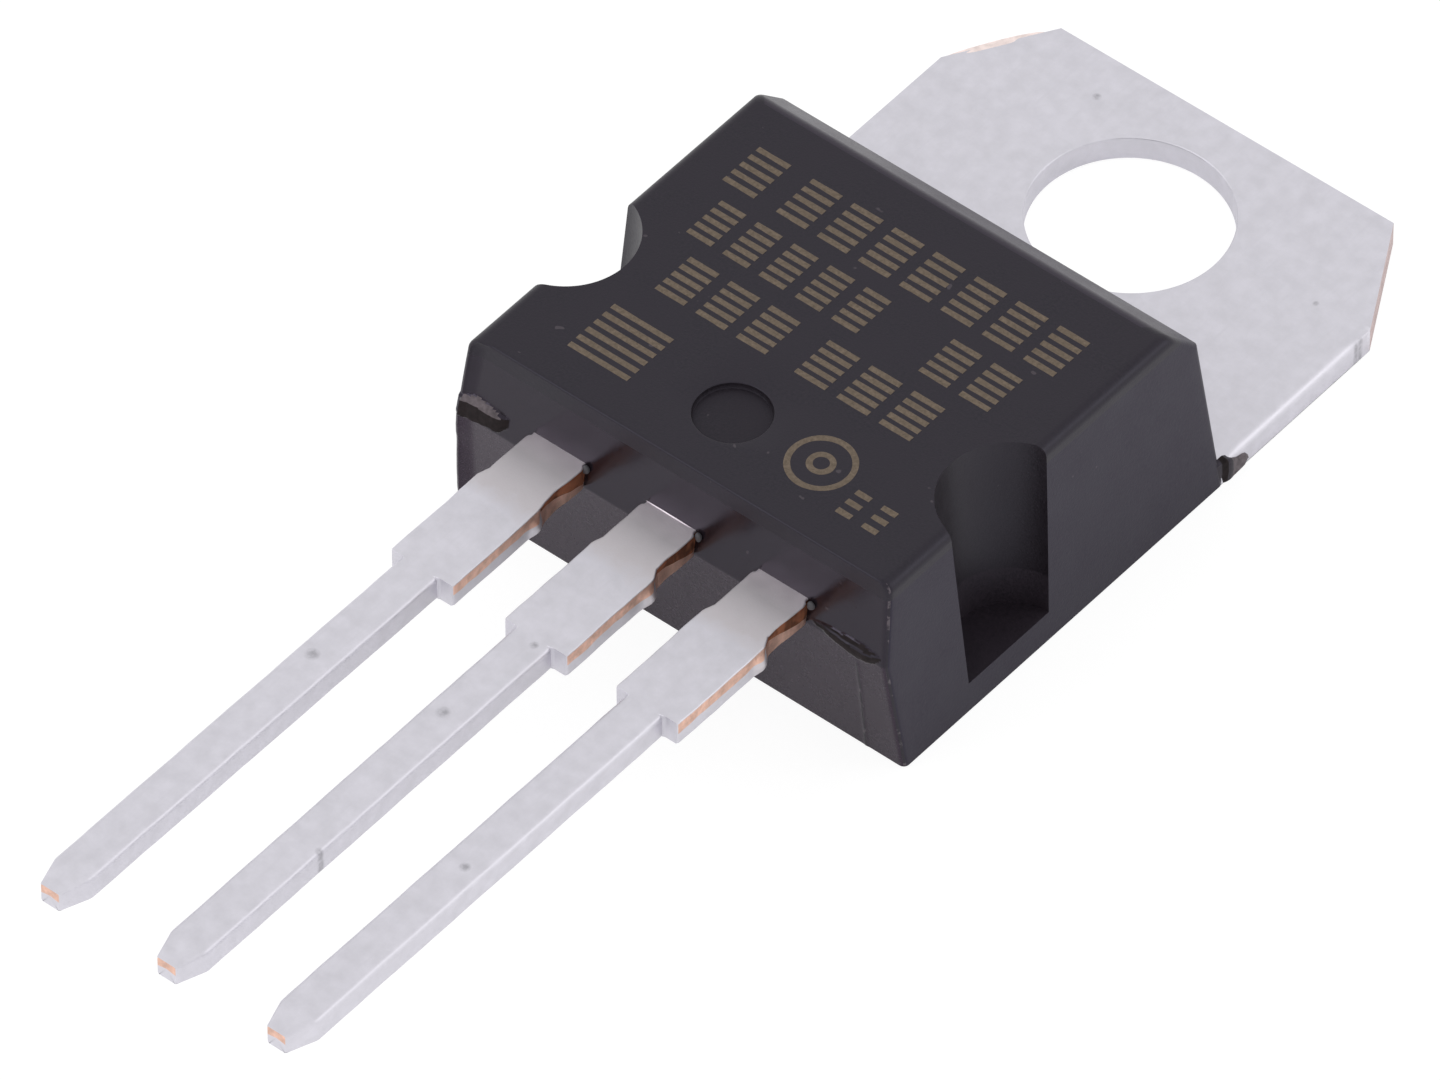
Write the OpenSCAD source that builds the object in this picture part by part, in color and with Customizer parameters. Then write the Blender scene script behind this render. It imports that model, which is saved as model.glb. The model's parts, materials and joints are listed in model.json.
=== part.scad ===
// Three-lead voltage regulator in a flat moulded power package with a
// screw tab. Origin: centre of the tab's hole on the back face. +Z points
// to the marked front, +Y to the free end of the tab, the leads run to -Y.
// All sizes are in millimetres.

/* [Metal strip] */
// Thickness of the copper strip that the tab and all leads are cut from
strip_t = 0.53; // [0.45:0.01:0.62]
// Width of the tab
tab_w = 10.1; // [9.7:0.05:10.3]
// Distance from the hole's centre to the free end of the tab
hole_to_end = 2.83; // [2.6:0.01:3.2]
// Diameter of the tab's mounting hole
hole_d = 3.81; // [3.4:0.01:4.1]
// Left corner cut, measured across the tab
cut_l_across = 1.18; // [0.6:0.01:1.7]
// Left corner cut, measured along the tab
cut_l_along = 1.94; // [1.2:0.01:2.6]
// Right corner cut, measured across the tab
cut_r_across = 1.31; // [0.6:0.01:1.7]
// Right corner cut, measured along the tab
cut_r_along = 2.33; // [1.2:0.01:2.6]
// Radius of the rolled-over upper edges of the tab and leads
roll_r = 0.1; // [0.04:0.01:0.16]

/* [Moulded case] */
// Total thickness of the package
case_h = 4.5; // [4.3:0.05:4.8]
// Width of the case at its back face
case_w = 10.06; // [9.8:0.02:10.4]
// Distance from the hole's centre to the case, at the back face
hole_to_case = 3.66; // [3.2:0.01:4.0]
// Distance from the hole's centre to the lead end of the case
hole_to_lead_end = 12.73; // [12.3:0.01:13.2]
// Draft of the two long sides, in degrees
side_draft = 4.6; // [2:0.1:7]
// Draft of the lead end above and below the parting line, in degrees
lead_end_draft = 5.8; // [3:0.1:7]
// Draft of the end next to the tab, in degrees
tab_end_draft = 7.3; // [4:0.1:11]
// Size of the 45 degree chamfer along the tab side of the front face
front_chamfer = 0.75; // [0.4:0.05:1]
// Radius of the long edges of the front face
front_edge_r = 0.22; // [0.1:0.01:0.35]
// Radius of the edge between the front face and the lead end
lead_edge_r = 0.1; // [0.05:0.01:0.2]
// Radius of the upright corner at the right of the lead end
corner_r = 0.25; // [0.1:0.01:0.4]
// Radius of the upright corner at the left of the lead end
corner_l_r = 0.08; // [0.04:0.01:0.3]
// Radius of the upright corners beside the tab
tab_corner_r = 0.08; // [0.04:0.01:0.3]

/* [Side notches] */
// Radius of each half-round notch at the front face
notch_r_top = 1.34; // [1:0.01:1.5]
// Radius of each notch at its floor
notch_r_floor = 1.1; // [0.8:0.01:1.2]
// Distance from the hole's centre to the notches, along the case
hole_to_notch = 9.6; // [8.8:0.05:10.2]
// Resin left over the paddle under a notch's floor
notch_skin = 0.14; // [0.08:0.01:0.3]
// Diameter of the round mould mark in the front face
mark_d = 1.44; // [1:0.02:1.8]
// Depth of the round mould mark
mark_depth = 0.12; // [0.05:0.01:0.2]
// Distance from the hole's centre to the round mould mark
hole_to_mark = 11.1; // [10.6:0.05:11.4]

/* [Leads] */
// Distance between neighbouring leads
pitch = 2.54; // [2.4:0.01:2.7]
// Height of the underside of the leads above the back face
lead_level = 2.685; // [2.4:0.005:2.8]
// Width of a lead where it leaves the case
neck_w = 1.17; // [1:0.01:1.3]
// Width of the wide part of a lead
wide_w = 1.39; // [1.2:0.01:1.6]
// Width of the narrow part of a lead
pin_w = 0.745; // [0.6:0.005:0.9]
// Length of the neck from the case to the wide part
neck_len = 1.14; // [0.8:0.01:1.6]
// Length along the slanted shoulders of the neck
shoulder_len = 0.18; // [0.1:0.01:0.3]
// Distance from the case to the end of the wide part
wide_end = 3.71; // [3:0.01:4.2]
// Length of a lead outside the case
lead_len = 13.44; // [12.5:0.02:14.2]
// Length of the tapered tip
tip_len = 0.6; // [0.3:0.05:0.9]
// Width of the flat at the tip
tip_w = 0.37; // [0.25:0.01:0.5]
// Thickness of the flat at the tip
tip_t = 0.42; // [0.3:0.01:0.45]

/* [Inside the case] */
// Resin between the sides of the case and the paddle that carries the die
side_wall = 0.88; // [0.6:0.02:1.2]
// Slant of the shoulders where the tab narrows to the paddle
slant = 0.2; // [0.1:0.01:0.4]
// Distance from the hole's centre to the end of the paddle
hole_to_paddle_end = 9.5; // [9.2:0.05:9.9]
// Width of the coined rim that the resin grips under the paddle
rim_w = 0.5; // [0.3:0.05:0.8]
// Depth of the coined rim
rim_t = 0.2; // [0.1:0.01:0.3]
// Distance from the paddle's shoulders to the groove across it
groove_gap = 0.5; // [0.3:0.05:0.9]
// Side of the square that cuts the groove, set on its corner
groove_w = 0.2; // [0.1:0.01:0.3]
// Width of the bend that lifts the middle lead
bend_w = 1.5; // [1.2:0.05:1.8]
// Run of that bend along the case
bend_run = 1.9; // [1.6:0.05:2.1]
// Width of the bond post of an outer lead
post_w = 1.95; // [1.6:0.05:2.1]
// Length of the bond post
post_len = 2; // [1.6:0.05:2.2]
// Length of the lead's neck inside the case
root_len = 0.85; // [0.6:0.05:1.2]
// Distance from the inner end of a bond post to the foot of its wire
bond_in = 0.45; // [0.35:0.01:0.7]
// Diameter of the resin lock hole in a bond post
lock_d = 0.7; // [0.5:0.05:0.8]
// Side of the square silicon die
die_w = 1.9; // [1.4:0.05:2.4]
// Thickness of the die
die_t = 0.25; // [0.15:0.01:0.35]
// Distance from the hole's centre to the die
hole_to_die = 6.9; // [6.4:0.05:7.2]
// Thickness of the solder under the die
solder_t = 0.05; // [0.03:0.01:0.08]
// How far the solder spreads past the die on each side
solder_margin = 0.12; // [0.05:0.01:0.25]
// Diameter of the bond wires
wire_d = 0.2; // [0.15:0.01:0.25]
// Loop radius of the two long bond wires, against half the span between their feet
loop_ratio = 1.12; // [1.05:0.01:1.25]
// Loop radius of the ground wire, against half the span between its feet
ground_loop_ratio = 1.04; // [1.02:0.01:1.2]

/* [Moulding traces] */
// How far the resin ears stand out beside the tab
ear_out = 0.05; // [0.02:0.01:0.3]
// Length of a resin ear along the tab
ear_len = 0.7; // [0.4:0.01:0.8]
// How far a resin ear reaches past the case's end, at the back face
ear_ahead = 0.3; // [0.1:0.01:0.35]
// How deep the resin ears are seated in the sides of the case
ear_seat = 0.48; // [0.3:0.02:0.7]
// How far the broken flash stands out of the lead end
flash_out = 0.1; // [0.04:0.01:0.15]
// Thickness of the flash where it breaks out
flash_t = 0.06; // [0.03:0.01:0.1]
// Length of the flash at the left corner
flash_l_len = 1.05; // [0.6:0.05:1.6]
// Height of the torn facet above the left flash
flash_l_rise = 0.45; // [0.1:0.01:0.6]
// Length of the flash at the right corner
flash_r_len = 1.5; // [0.8:0.05:1.6]
// Height of the torn facet above the right flash
flash_r_rise = 0.14; // [0.08:0.01:0.4]

/* [Hidden] */
$fn = 48;
tin = [0.79, 0.78, 0.81];
slack = 0.5;            // how far cutting shapes pass the body that they cut
skirt = 0.1;            // how far a round's cutter stands off the edge that it rounds
foot_h = 0.35 * wire_d; // height of a wire's flattened foot
foot_l = 2 * wire_d;    // its length
foot_w = 1.25 * wire_d; // its width
lead_top = lead_level + strip_t;
notch_floor = strip_t + notch_skin;
die_top = strip_t + solder_t + die_t;
lead_end_y = -hole_to_lead_end;
post_end_y = lead_end_y + root_len + post_len;
bond_y = post_end_y - bond_in;
bond_x = pitch - post_w * 0.12;
paddle_w = case_w - 2 * side_wall;
relief_x = case_w / 2 - ear_seat;
relief_y = -hole_to_case + ear_ahead;
relief_end = relief_y - ear_len;
paddle_y = relief_end - slant;
notch_slope = (notch_r_top - notch_r_floor) / (case_h - notch_floor);
die_x = die_w * 0.28;   // the wires' feet on the die, from its centre
die_y = die_w * 0.24;

function unit(v) = v / norm(v);
function half_w(z) = case_w / 2 - z * tan(side_draft);
function lead_end(z) = lead_end_y + abs(z - lead_level) * tan(lead_end_draft);
function tab_end(z) = -hole_to_case - z * tan(tab_end_draft);
chamfer_z = case_h - front_chamfer;
chamfer_y = tab_end(chamfer_z);
front_y = chamfer_y - front_chamfer;

// Cuts a true round of radius r along the edge from a to b, between two
// faces with the outward normals na and nb
module edge_round(a, b, na, nb, r) {
    u = unit(b - a);
    side = cross(u, na);
    c = -r * (na + nb) / (1 + na * nb);
    t = c + r * nb;
    out = (na + nb) / (1 + na * nb) * skirt;
    flat = function (v) [v * na, v * side];
    multmatrix([[na.x, side.x, u.x, a.x], [na.y, side.y, u.y, a.y], [na.z, side.z, u.z, a.z]])
        translate([0, 0, -slack])
            linear_extrude(norm(b - a) + 2 * slack)
                difference() {
                    polygon([flat(c), flat(c + r * na), flat(c + r * na + skirt * na), flat(out),
                             flat(t + skirt * nb), flat(t)]);
                    translate(flat(c)) circle(r);
                }
}

// Flat strip of the given width between two heights of y, top edges rolled over
module strip_bar(w, y0, y1, z) {
    translate([0, y1, z]) rotate([90, 0, 0])
        linear_extrude(y1 - y0)
            rolled_section(w);
}

// Cross-section of a stamped lead: sharp below, rounded above
module rolled_section(w) {
    translate([-w / 2, 0]) square([w, strip_t - roll_r]);
    translate([-w / 2 + roll_r, 0]) square([w - 2 * roll_r, strip_t]);
    for (s = [-1, 1]) translate([s * (w / 2 - roll_r), strip_t - roll_r]) circle(roll_r);
}

// The part of a lead outside the case, along -Y from y = 0 at height z = 0
module lead_outside() {
    w0 = neck_w / 2;
    w1 = wide_w / 2;
    // neck and wide part, with slanted shoulders
    linear_extrude(strip_t)
        polygon([[-w0, 0], [w0, 0], [w0, -neck_len], [w1, -neck_len - shoulder_len],
                 [w1, -wide_end], [-w1, -wide_end], [-w1, -neck_len - shoulder_len],
                 [-w0, -neck_len]]);
    strip_bar(pin_w, -lead_len + tip_len, -wide_end, 0);
    // tip, tapered on four sides
    intersection() {
        strip_bar(pin_w, -lead_len, -lead_len + tip_len, 0);
        linear_extrude(strip_t)
            polygon([[-pin_w / 2, tip_len - lead_len], [pin_w / 2, tip_len - lead_len],
                     [tip_w / 2, -lead_len], [-tip_w / 2, -lead_len]]);
        translate([-pin_w / 2, 0, 0]) rotate([90, 0, 90])
            linear_extrude(pin_w)
                polygon([[tip_len - lead_len, 0], [tip_len - lead_len, strip_t],
                         [-lead_len, (strip_t + tip_t) / 2], [-lead_len, (strip_t - tip_t) / 2]]);
    }
}

// An outer lead with its bond post; s is the side, -1 left and 1 right
module outer_lead(s) {
    translate([s * pitch, lead_end_y, lead_level]) {
        lead_outside();
        difference() {
            translate([-neck_w / 2, 0, 0]) cube([neck_w, root_len, strip_t]);
            // groove that the resin grips
            translate([-neck_w / 2, root_len / 2, strip_t]) rotate([0, 90, 0])
                rotate([0, 0, 45]) cube([groove_w, groove_w, 3 * neck_w], center = true);
        }
        difference() {
            translate([-post_w / 2, root_len, 0]) cube([post_w, post_len, strip_t]);
            translate([0, root_len + lock_d * 0.85, -slack]) cylinder(d = lock_d, h = strip_t + 2 * slack);
        }
    }
}

// The tab and the paddle under the die
module tab_strip() {
    w = tab_w / 2;
    e = hole_to_end;
    p = paddle_w / 2;
    r = relief_x;
    difference() {
        linear_extrude(strip_t)
            polygon([[-w, e - cut_l_along], [-w + cut_l_across, e], [w - cut_r_across, e],
                     [w, e - cut_r_along], [w, relief_y], [r, relief_y], [r, relief_end],
                     [p, paddle_y], [p, -hole_to_paddle_end], [-p, -hole_to_paddle_end],
                     [-p, paddle_y], [-r, relief_end], [-r, relief_y], [-w, relief_y]]);
        translate([0, 0, -slack]) cylinder(d = hole_d, h = strip_t + 2 * slack, $fn = 96);
        // rolled-over upper edges of the long sides and the free end
        for (s = [-1, 1])
            edge_round([s * w, relief_y, strip_t], [s * w, e, strip_t], [s, 0, 0], [0, 0, 1], roll_r);
        edge_round([-w, e, strip_t], [w, e, strip_t], [0, 1, 0], [0, 0, 1], roll_r);
        // coined rim that the resin grips from below, at both sides and the end
        for (s = [-1, 1])
            translate([s * (p - rim_w / 2 + slack / 2), (paddle_y - slant - hole_to_paddle_end) / 2, 0])
                cube([rim_w + slack, hole_to_paddle_end + paddle_y - slant, 2 * rim_t], center = true);
        translate([-p - slack, -hole_to_paddle_end - slack, -rim_t])
            cube([paddle_w + 2 * slack, rim_w + slack, 2 * rim_t]);
        // groove across the paddle, against creeping moisture
        translate([0, paddle_y - groove_gap, strip_t]) rotate([45, 0, 0])
            cube([paddle_w + 2 * slack, groove_w, groove_w], center = true);
    }
}

// The bend from the paddle up to the level of the leads, with the coined rim
// running on below it
module centre_bend() {
    y0 = -hole_to_paddle_end;
    y1 = y0 - bend_run;
    mitre = strip_t / 2 * tan(atan2(lead_level, bend_run) / 2);
    rim_run = rim_t * (bend_run - 2 * mitre) / lead_level;
    neck_y = y1 - 2 * mitre;
    translate([-bend_w / 2, 0, 0]) rotate([90, 0, 90])
        linear_extrude(bend_w)
            polygon([[y0 + rim_w, rim_t], [y0 + rim_w, strip_t], [y0 + mitre, strip_t],
                     [y1 - mitre, lead_top], [neck_y, lead_top], [neck_y, lead_level],
                     [y1 + mitre, lead_level], [y0 - mitre - rim_run, rim_t]]);
    translate([-neck_w / 2, lead_end_y, lead_level])
        cube([neck_w, neck_y + mitre / 2 - lead_end_y, strip_t]);
}

// The tab, the paddle and the middle lead are one stamped and bent strip
module tab_with_centre_lead() {
    color(tin) union() {
        tab_strip();
        centre_bend();
        translate([0, lead_end_y, lead_level]) lead_outside();
    }
}

module input_lead() { color(tin) outer_lead(-1); }
module output_lead() { color(tin) outer_lead(1); }

module silicon_die() {
    color([0.35, 0.36, 0.42])
        translate([-die_w / 2, -hole_to_die - die_w / 2, strip_t + solder_t])
            cube([die_w, die_w, die_t]);
}

module die_attach() {
    w = die_w + 2 * solder_margin;
    color([0.6, 0.6, 0.63])
        translate([-w / 2, -hole_to_die - w / 2, strip_t]) cube([w, w, solder_t]);
}

// A bond wire looped from foot a up and over to foot b, with flattened feet
module bond_wire(a, b, fullness) {
    run = norm([b.x - a.x, b.y - a.y]);
    rise = b.z - a.z;
    chord = norm([run, rise]);
    r = fullness * chord / 2;
    sag = sqrt(r * r - chord * chord / 4);
    c = [run / 2 + sag * rise / chord, rise / 2 - sag * run / chord];
    from = atan2(rise - c.y, run - c.x);
    to = (atan2(-c.y, -c.x) + 360) % 360;
    more = 1.6 * wire_d / r * 180 / PI;
    cut = 5 * wire_d;
    translate(a) rotate([0, 0, atan2(b.y - a.y, b.x - a.x)]) rotate([90, 0, 0]) {
        difference() {
            translate([c.x, c.y, 0]) rotate([0, 0, from - more])
                rotate_extrude(angle = to - from + 2 * more) translate([r, 0]) circle(d = wire_d, $fn = 24);
            // the wire ends flat on the die and on the post
            translate([-cut, -cut, -cut]) cube([cut + run * 0.3, cut, 2 * cut]);
            translate([run * 0.7, rise - cut, -cut]) cube([cut + run * 0.3, cut, 2 * cut]);
        }
        translate([-foot_l * 0.7, 0, -foot_w / 2]) cube([foot_l, foot_h, foot_w]);
        translate([run - foot_l * 0.3, rise, -foot_w / 2]) cube([foot_l, foot_h, foot_w]);
    }
}

// A wire from the die to the bond post of an outer lead
module post_wire(s) {
    color([0.85, 0.85, 0.87])
        bond_wire([s * die_x, -hole_to_die - die_y, die_top],
                  [s * bond_x, bond_y, lead_top], loop_ratio);
}

module input_wire() { post_wire(-1); }
module output_wire() { post_wire(1); }

// The short wire that grounds the die to the paddle beside it
module ground_wire() {
    color([0.85, 0.85, 0.87])
        bond_wire([0, -hole_to_die + die_w / 2 - 1.5 * foot_l, die_top],
                  [0, -hole_to_die + die_w / 2 + solder_margin + foot_l, strip_t], ground_loop_ratio);
}

// The case without its notches: two drafted profiles that cross, with the
// parting line of the mould at the underside of the leads
module case_blank() {
    function side(s) = [s * cos(side_draft), 0, sin(side_draft)];
    function at(s, y, z) = [s * half_w(z), y, z];
    up = [0, 0, 1];
    lead_up = [0, -cos(lead_end_draft), sin(lead_end_draft)];
    lead_down = [0, -cos(lead_end_draft), -sin(lead_end_draft)];
    tab_side = [0, cos(tab_end_draft), sin(tab_end_draft)];
    bevel = [0, cos(45), sin(45)];
    difference() {
        intersection() {
            rotate([90, 0, 0])
                linear_extrude(hole_to_lead_end + slack)
                    polygon([[-half_w(0), 0], [half_w(0), 0], [half_w(case_h), case_h],
                             [-half_w(case_h), case_h]]);
            translate([-case_w, 0, 0]) rotate([90, 0, 90])
                linear_extrude(2 * case_w)
                    polygon([[tab_end(0), 0], [chamfer_y, chamfer_z], [front_y, case_h],
                             [lead_end(case_h), case_h], [lead_end_y, lead_level], [lead_end(0), 0]]);
        }
        for (s = [-1, 1]) {
            r = s < 0 ? corner_l_r : corner_r;
            edge_round(at(s, lead_end(case_h), case_h), at(s, front_y, case_h), side(s), up, front_edge_r);
            edge_round(at(s, lead_end_y, lead_level), at(s, lead_end(case_h), case_h), side(s), lead_up, r);
            edge_round(at(s, lead_end(0), 0), at(s, lead_end_y, lead_level), side(s), lead_down, r);
            edge_round(at(s, tab_end(0), 0), at(s, chamfer_y, chamfer_z), side(s), tab_side, tab_corner_r);
            edge_round(at(s, chamfer_y, chamfer_z), at(s, front_y, case_h), side(s), bevel, tab_corner_r);
        }
        edge_round(at(-1, lead_end(case_h), case_h), at(1, lead_end(case_h), case_h), lead_up, up, lead_edge_r);
    }
}

// Resin that fills the tab's side relief and stands out as a small ear
module side_ear(s) {
    o = tab_w / 2 + ear_out;
    mirror([s < 0 ? 1 : 0, 0, 0])
        linear_extrude(strip_t)
            polygon([[relief_x, relief_y], [o - ear_out, relief_y], [o, relief_y - ear_len / 4],
                     [o - ear_out, relief_y - ear_len / 2], [half_w(strip_t), relief_end],
                     [relief_x, relief_end]]);
}

// Broken resin flash on the parting line at a corner of the lead end; it
// starts where the corner's round ends and runs out towards the middle
module flash_ridge(s, reach, rise, r) {
    x0 = half_w(lead_level) - r;
    back = flash_out + skirt;
    translate([s * x0, lead_end_y, lead_level]) mirror([s < 0 ? 0 : 1, 0, 0])
        rotate([0, 0, atan2(flash_out, reach)])
            translate([0, -flash_out, 0]) rotate([90, 0, 90])
                linear_extrude(reach)
                    polygon([[0, -flash_t / 2], [0, flash_t / 2], [flash_out, rise], [back, rise],
                             [back, -flash_t], [flash_out, -flash_t]]);
}

module moulded_case() {
    color([0.24, 0.23, 0.26]) difference() {
        union() {
            case_blank();
            for (s = [-1, 1]) side_ear(s);
            flash_ridge(-1, flash_l_len, flash_l_rise, corner_l_r);
            flash_ridge(1, flash_r_len, flash_r_rise, corner_r);
        }
        for (s = [-1, 1])
            translate([s * case_w / 2, -hole_to_notch, notch_floor])
                cylinder(h = case_h - notch_floor + slack, r1 = notch_r_floor,
                         r2 = notch_r_top + slack * notch_slope, $fn = 64);
        translate([0, -hole_to_mark, case_h - mark_depth]) cylinder(d = mark_d, h = mark_depth + slack);
        // what the resin is moulded around
        tab_strip();
        centre_bend();
        outer_lead(-1);
        outer_lead(1);
        silicon_die();
        die_attach();
        input_wire();
        output_wire();
        ground_wire();
    }
}

moulded_case();
tab_with_centre_lead();
input_lead();
output_lead();
silicon_die();
die_attach();
input_wire();
output_wire();
ground_wire();
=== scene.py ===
import json
import math

import bpy
import numpy as np
from bpy.props import FloatProperty, FloatVectorProperty
from mathutils import Matrix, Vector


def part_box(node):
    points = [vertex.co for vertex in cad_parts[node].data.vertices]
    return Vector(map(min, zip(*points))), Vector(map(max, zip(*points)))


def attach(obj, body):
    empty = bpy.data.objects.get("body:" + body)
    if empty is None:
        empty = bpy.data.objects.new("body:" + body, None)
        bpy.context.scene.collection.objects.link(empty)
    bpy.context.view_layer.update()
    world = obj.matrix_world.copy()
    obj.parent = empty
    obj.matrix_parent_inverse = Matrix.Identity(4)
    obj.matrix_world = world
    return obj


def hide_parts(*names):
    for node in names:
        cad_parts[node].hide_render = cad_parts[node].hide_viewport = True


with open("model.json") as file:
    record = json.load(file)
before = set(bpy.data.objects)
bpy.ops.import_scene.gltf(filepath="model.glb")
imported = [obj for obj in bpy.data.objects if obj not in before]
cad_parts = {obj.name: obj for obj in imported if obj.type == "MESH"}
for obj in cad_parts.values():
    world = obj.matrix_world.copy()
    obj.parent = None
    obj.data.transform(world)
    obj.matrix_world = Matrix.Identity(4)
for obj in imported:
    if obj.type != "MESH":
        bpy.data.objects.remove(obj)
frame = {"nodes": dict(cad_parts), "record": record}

bl_info = {
    "name": "Three-lead voltage regulator",
    "version": (1, 0, 0),
    "blender": (4, 5, 0),
    "location": "View3D > Sidebar > Regulator",
    "description": "Moulded case, plated tab, three leads and plain laser fields of a power regulator",
    "category": "Object",
}

MM = 0.001
WELD = 2e-8  # points closer than this are one point
SHARP = math.radians(32)  # edges that turn more than this stay sharp
BODY = "root"

# Sizes that the frame gives
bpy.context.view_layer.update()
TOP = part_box("moulded_case")[1].z
TAB_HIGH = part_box("tab_with_centre_lead")[1]
LEAD_LOW, LEAD_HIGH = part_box("output_lead")
HOLE_R = next(m for m in frame["record"]["mounts"] if m["name"] == "tab_hole")["dims"]["r_mm"] * MM
LEVEL = LEAD_LOW.z
STRIP = LEAD_HIGH.z - LEAD_LOW.z
PITCH = (LEAD_LOW.x + LEAD_HIGH.x) / 2
POST_END = LEAD_HIGH.y
TIP_END = LEAD_LOW.y

# Paints of the plated strip and of the resin, by their place in a piece's material slots
# Of the strip's paints, the dark copper is copper darkened as a painted shade of the case
TIN, COPPER, SHADED_COPPER, GREY, CUT, BURR = range(6)
# Of the resin's paints, some stand in for light: dark shade at the flash and the ears, glints along edges,
# lightened resin in the notches and on the ears, pale torn resin on the flash facet, and a painted sheen on
# the sides, the lower end and the chamfer
SKIN, TORN, SHADED, POLISHED, PAINTED_GLINTS, MATT, PAINTED_LIGHT, LOWER_END, SIDE, CHAMFER = range(10)
# Zones of a lead's section, from its underside up its wall to its upper face
BELOW, LOWER, UPPER, ROLLED, ABOVE = range(5)
# Columns of one side of the case: a corner, the straight wall, the notch, the wall up to the tab's corner
CORNER, FORE_WALL, NOTCH, AFT_WALL = 8, 16, 41, 20
FLANK = 2 * CORNER + FORE_WALL + NOTCH + AFT_WALL
WITNESS_X = 4.17 * MM  # place of the witness line on the lead end


def size(name, about, millimetres):
    """A length that a user can change, given in millimetres."""
    return FloatProperty(name=name, description=about, default=millimetres * MM, unit="LENGTH", precision=5)


def tilt(name, about, degrees):
    """An angle that a user can change, given in degrees."""
    return FloatProperty(name=name, description=about, default=math.radians(degrees), subtype="ANGLE")


def shade(name, about, rgb):
    """A linear colour that a user can change."""
    return FloatVectorProperty(name=name, description=about, default=rgb, subtype="COLOR", min=0, max=1)


def level(name, about, value):
    """A plain number above zero that a user can change."""
    return FloatProperty(name=name, description=about, default=value, min=0)


class CaseSizes(bpy.types.PropertyGroup):
    """Sizes of the moulded case."""

    width: size("Width", "Width of the case at its back face", 10.06)
    start: size("Start", "Distance from the hole's centre to the case, at the back face", 3.67)
    end: size("End", "Distance from the hole's centre to the parting edge of the lead end", 12.81)
    side_draft: tilt("Side draft", "Draft of the two long sides", 4.1)
    lead_draft: tilt("Lead end draft", "Draft of the lead end above the parting line", 7.8)
    foot_draft: tilt("Foot draft", "Draft of the lead end below the parting line", 6.5)
    tab_draft: tilt("Tab end draft", "Draft of the end next to the tab", 6.8)
    chamfer: size("Chamfer", "Size of the 45 degree chamfer along the tab side of the front face", 0.755)
    bevel_r: size("Chamfer edge", "Radius of the edge between chamfer and front face", 0.3)
    edge_r: size("Front edge", "Radius of the long edges of the front face", 0.22)
    lead_edge_r: size("Lead edge", "Radius of the edge between front face and lead end", 0.035)
    corner_r: size("Right corner", "Radius of the upright corner at the right of the lead end", 0.12)
    corner_l_r: size("Left corner", "Radius of the upright corner at the left of the lead end", 0.08)
    tab_corner_r: size("Tab corners", "Radius of the upright corners beside the tab", 0.12)
    foot: size("Foot", "Small break of the edges at the back face", 0.03)
    sunk: size("Sunk", "How far the resin lies behind the metal at the back face", 0.008)
    shift: size("Shift", "How far the case sits to the right of the tab's middle", 0.03)
    skew: tilt("Skew", "How far the case is turned against the strip", 0.23)
    notch_x: size("Notch axis", "Distance from the tab's middle to the axis of a notch", 5.03)
    notch_at: size("Notch place", "Distance from the hole's centre to the side notches", 9.6)
    notch_r: size("Notch radius", "Radius of a notch at the front face", 1.34)
    notch_floor_r: size("Notch floor radius", "Radius of a notch at its floor", 1.1)
    notch_skin: size("Notch skin", "Resin left over the strip under a notch", 0.14)
    mark_at: size("Mark place", "Distance from the hole's centre to the round mould mark", 11.1)
    mark_r: size("Mark radius", "Radius of the round mould mark", 0.72)
    mark_depth: size("Mark depth", "Depth of the round mould mark", 0.12)
    fin: size("Corner fin", "How far the worn mould lets the left corner of the lead end bulge", 0.12)
    flash: size("Flash", "How far the broken flash stands out at the parting line", 0.15)


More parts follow.
